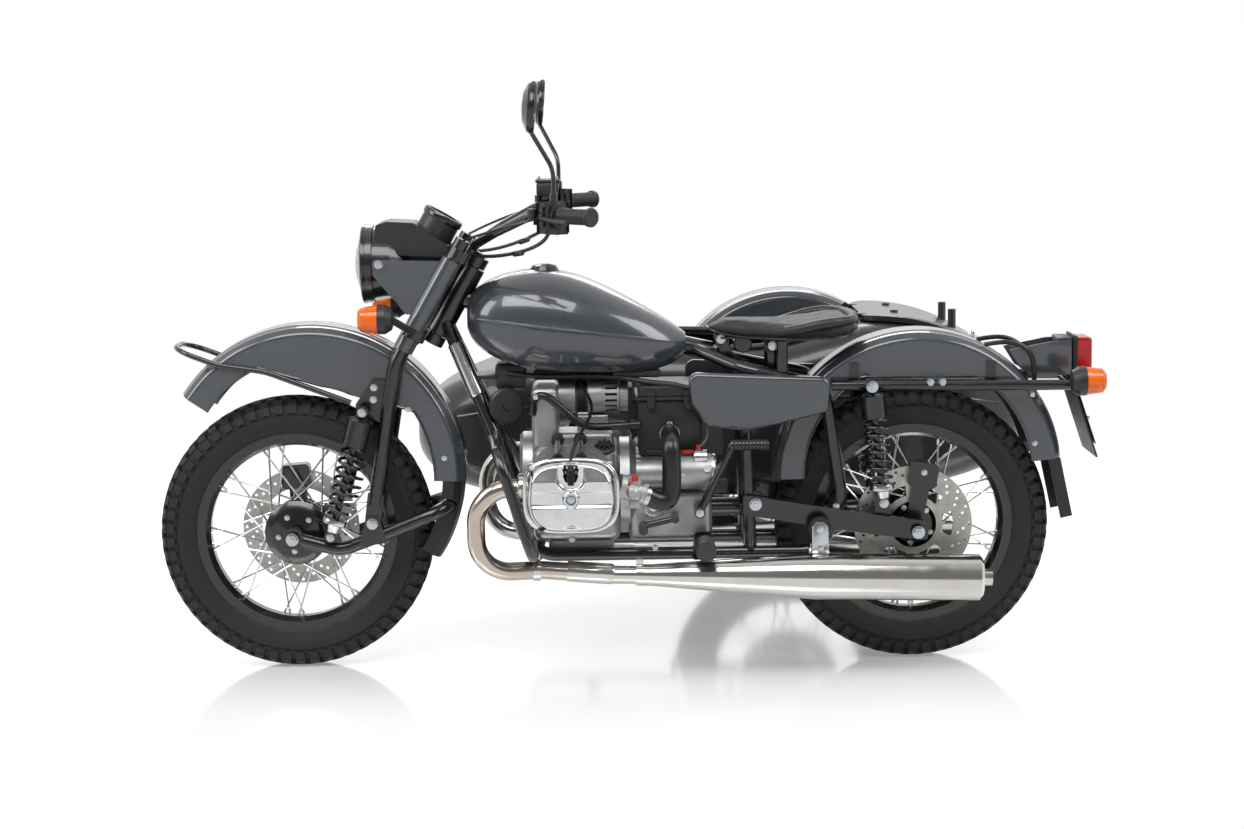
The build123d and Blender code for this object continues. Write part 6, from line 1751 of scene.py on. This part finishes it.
@dataclass
class Sidecar(Trim):
    """Trim of the sidecar's body: stuffed bench and back, rolled cockpit rim, waist mouldings and lid trim."""

    middle_y: float = -712.0
    cockpit: tuple[float, float, float, float] = (112.0, 640.0, 226.0, 60.0)
    rim_radius: float = 9.0
    waist_z: float = 262.0

    def build(self) -> None:
        """Builds and places the sidecar's pieces."""
        self.build_seats()
        self.build_rim()
        self.build_trim()

    def build_seats(self) -> None:
        """Stuffs the bench and its back."""
        y = self.middle_y
        lines = [y + k * 71 for k in (-2, -1, 0, 1, 2)]
        bench_rings = [(Vector((x, y, 68)), Vector((0, 204 * share, 0)), Vector((0, 0, 62 * share)))
                       for x, share in ((241, 0.90), (246, 0.97), (262, 1.0), (330, 1.0), (420, 1.0), (500, 1.0),
                                        (564, 1.0), (580, 0.97), (585, 0.90))]
        Pad("sidecar_bench", bench_rings, square=0.32, cap_mm=7.0).place(
            self.bench, Body.CHASSIS, HIDE, ["sidecar_seat"], lines, (0, 0, 1))
        foot, top = Vector((258, y, 147)), Vector((167, y, 419))
        rise = (top - foot).normalized()
        out = Vector((rise.z, 0, -rise.x))
        back_rings = []
        for share, grow in ((0.0, 0.88), (0.02, 0.96), (0.07, 1.0), (0.3, 1.0), (0.5, 1.0), (0.7, 1.0), (0.92, 1.0),
                            (0.98, 0.96), (1.0, 0.88)):
            deep = (44 - 10 * share - 5) * grow
            back_rings.append((foot + (top - foot) * share, Vector((0, 192 * grow, 0)), out * deep))
        Pad("sidecar_seat_back", back_rings, square=0.36, cap_mm=6.0).place(
            self.bench, Body.CHASSIS, HIDE, (), lines, (1, 0, 0.4))

    def build_rim(self) -> None:
        """Rolls the soft edge round the cockpit, on the body's own skin."""
        skin = Surface.of_nodes(["sidecar_tub"])
        low, high, half, corner = self.cockpit
        grow = 5.0
        spots = []
        for cx, cy, start in ((high - corner, half - corner, 0), (low + corner, half - corner, 90),
                              (low + corner, corner - half, 180), (high - corner, corner - half, 270)):
            for k in range(5):
                a = math.radians(start + 90 * k / 4)
                spots.append((cx + (corner + grow) * math.cos(a), self.middle_y + cy + (corner + grow) * math.sin(a)))
            if start in (0, 180):
                turn = 1 if start == 0 else -1
                spots += [(low + (high - low) * (0.5 + turn * t), self.middle_y + turn * (half + grow))
                          for t in (0.3, 0.1, -0.1, -0.3)]
            else:
                edge = low - grow if start == 90 else high + grow
                turn = 1 if start == 90 else -1
                spots += [(edge, self.middle_y + turn * half * t) for t in (0.5, 0.0, -0.5)]
        line = []
        for x, y in spots:
            spot = skin.meet(self.bench.at((x, y, 700)), Vector((0, 0, -1)), 600.0)
            if spot:
                line.append(tuple(self.bench.drawn(spot) + Vector((0, 0, 2.0))))
        form = Form()
        form.tube(line, self.rim_radius, 14, closed=True)
        self.put(form, "cockpit_rim_roll", SMOOTH_HIDE)

    def build_trim(self) -> None:
        """Lays the waist mouldings along both sides and the lock on the lid."""
        skin = Surface.of_nodes(["sidecar_tub"])
        form = Form()
        for side in (1, -1):
            line = []
            for k in range(24):
                x = 1176 - 1476 * k / 23
                z = self.waist_z - 52 * max((x - 700) / 476, 0) ** 2 - 30 * max((-x) / 300, 0) ** 2
                spot = skin.meet(self.bench.at((x, self.middle_y + side * 420, z)), Vector((0, -side, 0)), 420.0)
                if spot:
                    line.append(tuple(self.bench.drawn(spot)))
            form.tube(line, 5.0, 10)
        self.put(form, "waist_mouldings", BLACK_ENAMEL)
        lid = Surface.of_nodes(["trunk_lid"])
        spot = lid.meet(self.bench.at((-262, self.middle_y, 700)), Vector((0, 0, -1)), 600.0)
        if spot:
            lock = Form()
            foot = self.bench.drawn(spot) - Vector((0, 0, 3))
            lock.lathe([(0, 0), (0, 17), (5, 17), (8, 14), (9, 8), (9, 0)], foot, (-0.25, 0, 1), 32)
            lock.block(foot + Vector((-2, 0, 13)), (8, 26, 9), 2)
            place(lock.mesh("lock", self.bench), "lid_lock", POLISHED_ALLOY, Body.TRUNK_LID)


@dataclass
class Tail(Trim):
    """Trim of the tail: lamp case, gussets, grab loops and the blank number plate."""

    lamp_face: float = -405.0
    board_middle: Point = (-424.5, 0.0, 262.0)

    BOARD_WAY = Vector((-156.0, 0.0, 52.0)).normalized()

    def build(self) -> None:
        """Builds and places the tail's pieces."""
        case = Form()
        case.block((self.lamp_face + 24, 0, 419), (40, 92, 92), 6)
        case.block((self.lamp_face - 3, 0, 418), (8, 98, 100), 3)
        self.put(case, "tail_lamp_case", BLACK_PLASTIC)
        gusset = Form()
        gusset.plate([(-240, 436), (-345, 456), (-396, 458), (-396, 372), (-306, 366), (-268, 390)], 46, 49, 0.8)
        gusset.mirror()
        self.put(gusset, "tail_gussets", GREY_ENAMEL)
        loops = Form()
        loops.tube([(-176, 58, 452), (-200, 60, 456), (-236, 60, 458), (-268, 60, 450), (-294, 60, 428),
                    (-303, 60, 386), (-300, 60, 340)], 6.0, 12)
        loops.mirror()
        self.put(loops, "grab_loops", HOSE_RUBBER)
        plate = Form()
        up = Vector((0.3162, 0, 0.9487))
        turn = Matrix((up, Vector((0, 1, 0)), self.BOARD_WAY)).transposed()
        plate.block(Vector(self.board_middle) + self.BOARD_WAY * 5.2, (128, 188, 2.4), 1.0, turn)
        self.put(plate, "blank_number_plate", GLOSS_PLASTIC)
        bolts = [(self.bench.at(Vector(self.board_middle) + self.BOARD_WAY * 6.4 + Vector((0, y, 0))), self.BOARD_WAY,
                  10.0)
                 for y in (-73, 73)]
        place(Repeat.bolts(bolts, ZINC), "number_plate_bolts", ZINC, Body.CHASSIS)


@dataclass
class Controls(Trim):
    """Rubber of the rider's pegs and the kick pedal, and the bright sleeve on the left down tube."""

    rib_pitch: float = 9.0

    def build(self) -> None:
        """Builds and places the ribbed rubbers and the sleeve."""
        ribs = []
        for side in (1, -1):
            form = Form()
            form.lathe([(-2.6, 22), (-2.6, 23.6), (-1.6, 25), (1.6, 25), (2.6, 23.6), (2.6, 22)],
                       (530, side * 216, -14), (0, 1, 0), 28, closed=True)
            ribs.append(Repeat.along_row(form.mesh("rib", self.bench), 10, (0, side * self.rib_pitch, 0), RUBBER))
        form = Form()
        form.lathe([(-2.4, 11), (-2.4, 13), (-1.4, 14.4), (1.4, 14.4), (2.4, 13), (2.4, 11)], (374, 182, 228),
                   (1, 0, 0), 24, closed=True)
        ribs.append(Repeat.along_row(form.mesh("rib", self.bench), 10, (self.rib_pitch, 0, 0), RUBBER))
        place(joined("ribs", ribs), "pedal_rubbers", RUBBER, Body.CHASSIS)
        sleeve = Form()
        start, end = Vector((1141, 31.5, 472)), Vector((1086, 60.8, 343.5))
        long = (end - start).length
        sleeve.lathe([(0, 16.2), (0, 18), (3, 20), (long - 3, 20), (long, 18), (long, 16.2)], start, end - start, 32,
                     closed=True)
        self.put(sleeve, "down_tube_sleeve", POLISHED_ALLOY)


@dataclass
class Fasteners(Trim):
    """The bolts and nuts that show on the machine's two sides, each seated on what it holds."""

    look_from: float = 70.0

    # columns: x, z, y that the bolt is near, width of its head
    CHASSIS_BOLTS = [
        (113, 363, 150, 23), (84, 72, 150, 18), (-34, 367, 130, 15), (-64, 367, 130, 15), (401, 73, 150, 24),
        (312, 170, 125, 13), (317, 135, 125, 13), (351, 111, 125, 13), (857, -15, 126, 13), (650, -38, 126, 13),
        (0, 0, 150, 25), (200, 60, 148, 14), (150, 55, 148, 14), (-294, 326, 76, 11), (-301, 204, 76, 11),
        (246, 18, 201, 14), (246, -31, 201, 14), (530, -40, 137, 14), (940, 345, 88, 11), (898, 345, 88, 11),
        (940, 212, 88, 11), (478, 474, 44, 18), (351, 458, 70, 18), (246, -92, 205, 12), (540, 60, 184, 16),
    ]
    LEFT_BOLTS = [(853, 134, 380, 15), (25, 135, 90, 12), (-25, 135, 90, 12), (653, 62, 108, 15), (580, 153, 156, 9)]
    RIGHT_BOLTS = [(813, 134, 380, 15)]
    STEERING_BOLTS = [
        (1367, 317, 140, 17), (1343, 342, 92, 14), (1341, 372, 92, 14), (1351, 36, 125, 22), (1454, 6, 145, 16),
        (1259, 314, 78, 11), (1172, 190, 78, 11), (1319, 678, 112, 17), (1550, 0, 140, 25),
    ]

    def seated(self, skin: Surface, rows: Sequence[tuple], side: int) -> list[tuple[Vector, Vector, float]]:
        """Seats the bolts of one side on what shows there.

        Args:
            skin: What shows on the body.
            rows: Their x, z, near y and width.
            side: 1 for the left side and -1 for the right.

        Returns:
            Place, direction and width of each bolt that met something.
        """
        found = []
        for x, z, y, width in rows:
            start = self.bench.at((x, side * (y + self.look_from), z))
            spot = skin.meet(start, Vector((0, -side, 0)), self.look_from + 40.0)
            if spot is None:
                log.info("no seat for a bolt at %d, %d on side %d", x, z, side)
                continue
            found.append((spot, Vector((0, side, 0)), width))
        return found

    def build(self) -> None:
        """Seats and places all bolts, in one piece for each body."""
        skin = Surface.of_body(Body.CHASSIS)
        places = self.seated(skin, self.CHASSIS_BOLTS + self.LEFT_BOLTS, 1)
        places += self.seated(skin, self.CHASSIS_BOLTS + self.RIGHT_BOLTS, -1)
        place(Repeat.bolts(places, ZINC), "chassis_bolts", ZINC, Body.CHASSIS)
        skin = Surface.of_body(Body.STEERING)
        places = self.seated(skin, self.STEERING_BOLTS, 1) + self.seated(skin, self.STEERING_BOLTS, -1)
        place(Repeat.bolts(places, ZINC), "steering_bolts", ZINC, Body.STEERING)


@dataclass
class Studio:
    """Pale floor, soft lights and the camera that stands where the photograph was taken."""

    camera_place: Point = (0.0373, 6.4472, 1.4963)
    camera_yaw: float = -0.0049
    camera_pitch: float = -0.1425
    camera_roll: float = -0.0152
    focal_px: float = 2430.0
    floor_half: float = 40.0
    floor_glow: float = 0.25
    # distances at which the floor's shadow and mirror image start and end to fade: all round, and ahead
    fade_round: tuple[float, float] = (1.9, 4.2)
    fade_ahead: tuple[float, float] = (0.45, 1.15)
    # how bright the world is towards the photographer and overhead
    dim_side: float = 0.24
    dim_top: float = 0.55
    # columns: place, aim, width, height, power in watts
    LAMPS = [
        ((0.6, 2.6, 3.4), (0.0, 0.3, 0.5), 3.2, 1.6, 105.0),
        ((-2.6, 1.6, 2.6), (-0.4, 0.4, 0.6), 1.4, 1.8, 45.0),
        ((2.8, 1.4, 2.2), (0.6, 0.4, 0.6), 1.2, 1.8, 38.0),
        ((0.0, -3.4, 3.2), (0.0, -0.2, 0.5), 3.2, 1.4, 60.0),
    ]

    def build(self) -> None:
        """Builds the floor, the lights, the world and the camera."""
        self.build_floor()
        self.build_lamps()
        self.build_world()
        self.build_camera()

    def seen(self, tree: bpy.types.NodeTree, mirrored: bpy.types.NodeSocket | float) -> bpy.types.NodeSocket:
        """Gives how much of the white background a ray shows.

        Args:
            tree: The node tree to add to.
            mirrored: What a mirrored ray shows of it.

        Returns:
            1 on straight rays and rays through glass, `mirrored` on mirrored rays, 0 on all others.
        """
        path = add_node(tree, "ShaderNodeLightPath")
        clear = blend(tree, "MAXIMUM", path.outputs["Is Camera Ray"], path.outputs["Is Transmission Ray"])
        mirror = blend(tree, "MULTIPLY", path.outputs["Is Glossy Ray"], mirrored)
        return blend(tree, "MAXIMUM", clear, mirror)

    def build_floor(self) -> None:
        """Lays the pale floor, whose polish keeps a faint mirror image of the tyres."""
        mesh = bpy.data.meshes.new("studio_floor")
        h = self.floor_half
        mesh.from_pydata([(-h, -h, 0), (h, -h, 0), (h, h, 0), (-h, h, 0)], [], [(0, 1, 2, 3)])
        floor = bpy.data.objects.new("studio_floor", mesh)
        bpy.context.scene.collection.objects.link(floor)
        material = bpy.data.materials.new("white_lacquered_floor")
        material.use_nodes = True
        tree = material.node_tree
        tree.nodes.clear()
        where = add_node(tree, "ShaderNodeTexCoord").outputs["Object"]
        drift = add_node(tree, "ShaderNodeTexNoise", None, {"Vector": where, "Scale": 2.0, "Detail": 3.0})
        gloss = add_node(tree, "ShaderNodeMapRange", None,
                         {"Value": drift.outputs["Fac"], "To Min": 0.09, "To Max": 0.13})
        lacquer = add_node(tree, "ShaderNodeBsdfPrincipled", None, {
            "Base Color": linear("F4F4F4"), "Roughness": gloss.outputs["Result"], "Metallic": 0.4,
            "Emission Color": WHITE})
        shown = self.seen(tree, 1.0)
        tree.links.new(blend(tree, "MULTIPLY", shown, self.floor_glow), lacquer.inputs["Emission Strength"])
        reach = add_node(tree, "ShaderNodeVectorMath", {"operation": "LENGTH"}, {0: where})
        far = ramp(tree, reach.outputs["Value"], *self.fade_round)
        split = add_node(tree, "ShaderNodeSeparateXYZ", None, {0: where})
        ahead = ramp(tree, split.outputs["Y"], *self.fade_ahead)
        fade = blend(tree, "MULTIPLY", blend(tree, "MAXIMUM", far, ahead), shown)
        white = add_node(tree, "ShaderNodeEmission", None, {"Color": WHITE, "Strength": 1.0})
        mix = add_node(tree, "ShaderNodeMixShader", None, {0: fade, 1: lacquer.outputs[0], 2: white.outputs[0]})
        out = add_node(tree, "ShaderNodeOutputMaterial")
        tree.links.new(mix.outputs[0], out.inputs["Surface"])
        mesh.materials.append(material)
        floor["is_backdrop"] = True

    def build_lamps(self) -> None:
        """Hangs the soft boxes."""
        for index, (spot, aim, width, height, power) in enumerate(self.LAMPS):
            light = bpy.data.lights.new(f"soft_box_{index}", "AREA")
            light.shape, light.size, light.size_y, light.energy = "RECTANGLE", width, height, power
            lamp = bpy.data.objects.new(f"soft_box_{index}", light)
            lamp.location = spot
            lamp.rotation_euler = (Vector(aim) - Vector(spot)).to_track_quat("-Z", "Y").to_euler()
            bpy.context.scene.collection.objects.link(lamp)

    def build_world(self) -> None:
        """Wraps the studio in a white sweep that is dimmer towards the photographer and overhead."""
        world = bpy.data.worlds.new("studio")
        bpy.context.scene.world = world
        world.use_nodes = True
        tree = world.node_tree
        tree.nodes.clear()
        way = add_node(tree, "ShaderNodeTexCoord").outputs["Generated"]
        split = add_node(tree, "ShaderNodeSeparateXYZ", None, {0: way})
        depth = ramp(tree, split.outputs["Y"], -0.3, 0.7, 1.0, self.dim_side)
        height = ramp(tree, split.outputs["Z"], 0.15, 0.8, 1.0, self.dim_top)
        shown = blend(tree, "MAXIMUM", blend(tree, "MULTIPLY", depth, height), self.seen(tree, depth))
        sky = add_node(tree, "ShaderNodeBackground", None, {"Color": WHITE, "Strength": shown})
        out = add_node(tree, "ShaderNodeOutputWorld")
        tree.links.new(sky.outputs[0], out.inputs["Surface"])

    def build_camera(self) -> None:
        """Stands the camera where the photograph's lines meet."""
        data = bpy.data.cameras.new("photo_camera")
        data.sensor_width = SENSOR_MM
        data.lens = self.focal_px / IMAGE_SIZE[0] * SENSOR_MM
        data.clip_end = 200.0
        level = math.cos(self.camera_pitch)
        ahead = Vector((math.sin(self.camera_yaw) * level, -math.cos(self.camera_yaw) * level,
                        math.sin(self.camera_pitch)))
        right = ahead.cross(Vector((0, 0, 1))).normalized()
        up = right.cross(ahead)
        tilt_c, tilt_s = math.cos(self.camera_roll), math.sin(self.camera_roll)
        side, top = right * tilt_c + up * tilt_s, up * tilt_c - right * tilt_s
        camera = bpy.data.objects.new("photo_camera", data)
        turn = Matrix((side, top, -ahead)).transposed().to_4x4()
        camera.matrix_world = Matrix.Translation(Vector(self.camera_place)) @ turn
        bpy.context.scene.collection.objects.link(camera)
        bpy.context.scene.camera = camera
        bpy.context.scene.view_settings.view_transform = "Standard"


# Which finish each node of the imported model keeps
NODE_FINISHES: dict[Finish, str] = {
    GREY_ENAMEL: "fuel_tank side_covers fork_shrouds",
    # the sidecar's tub and lid take the enamel that is darkened as painted shade
    SIDECAR_ENAMEL_PAINTED_SHADE: "sidecar_tub trunk_lid",
    BLACK_ENAMEL: "frame rear_subframe swingarm calipers crash_bar foot_controls saddle_bracket sidecar_frame "
                  "sidecar_swingarm fork front_link fender_guard headlamp_shell handlebar front_caliper "
                  "front_rim rear_rim "
                  "sidecar_rim final_drive",
    CAST_ALLOY: "crankcase gearbox cylinders cylinder_heads alternator starter_motor",
    POLISHED_ALLOY: "valve_covers",
    STAINLESS: "mufflers",
    HOT_STEEL: "exhaust_pipes",
    GLOSS_PLASTIC: "mirrors tank_cap",
    RUBBER: "mud_flap front_flap hand_controls",
    HOSE_RUBBER: "intakes",
    BLACK_PLASTIC: "air_box tail_bracket instrument_pod signal_housings front_signal_housings",
    HIDE: "saddle sidecar_seat",
    LAMP_GLASS: "headlamp_lens",
    AMBER_LENS: "amber_lenses front_signal_lenses",
    RED_LENS: "red_lenses",
}


def dress_nodes(nodes: dict[str, bpy.types.Object]) -> None:
    """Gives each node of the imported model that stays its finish.

    Args:
        nodes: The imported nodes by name.
    """
    for finish, names in NODE_FINISHES.items():
        for name in names.split():
            node = nodes[name]
            for slot in node.material_slots:
                slot.material = finish.material()


def build_wheels(bench: Bench) -> None:
    """Builds the three wheels; the front one has its disc on the right."""
    Wheel("front", Body.FRONT_WHEEL, bench, -1).build()
    Wheel("rear", Body.REAR_WHEEL, bench, 1).build()
    Wheel("sidecar", Body.SIDECAR_WHEEL, bench, 1).build()


def build_dampers(bench: Bench) -> None:
    """Builds the front pair, the rear pair and the sidecar's damper."""
    front = [Damper((1367, s * 126, 317), (1454, s * 126, 6)) for s in (1, -1)]
    Damper.place_set(front, bench, "front_damper", Body.STEERING, "front_shocks")
    rear = [Damper((113, s * 138, 363), (84, s * 138, 72)) for s in (1, -1)]
    rear.append(Damper((330, -1062, 338), (296, -1062, 44), coil_radius=24.0, wire=3.6))
    Damper.place_set(rear, bench, "rear_damper", Body.CHASSIS, "shocks")


def build_mudguards(bench: Bench) -> None:
    """Builds the front guard, and the rear and the sidecar's guard as one pair."""
    front = Mudguard("front_mudguard", Body.STEERING, (1504, 0, 143), 384.0, -92, 56, 235.0, 16.5)
    place(front.mesh(bench), front.name, GREY_ENAMEL, front.body, ["front_fender"])
    rear = Mudguard("rear_mudguard", Body.CHASSIS, (-11, 0, 128), 363.0, -84, 91, 251.0, 0.0)
    side = Mudguard("sidecar_mudguard", Body.CHASSIS, (230, -1160, 128), 363.0, -88, 91, 251.0, 0.0)
    place(rear.mesh(bench), rear.name, GREY_ENAMEL, rear.body, ["fenders"])
    place(side.mesh(bench), side.name, GREY_ENAMEL, side.body)


def main() -> None:
    """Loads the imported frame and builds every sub-assembly round it."""
    logging.basicConfig(level=logging.INFO, format="%(message)s")
    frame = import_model()
    bench = Bench.from_frame()
    Studio().build()
    dress_nodes(frame["nodes"])
    build_wheels(bench)
    build_dampers(bench)
    build_mudguards(bench)
    for assembly in (Engine, Exhaust, FrontEnd, Saddle, Sidecar, Tail, Controls, Fasteners):
        assembly(bench).build()


if __name__ == "__main__":
    main()
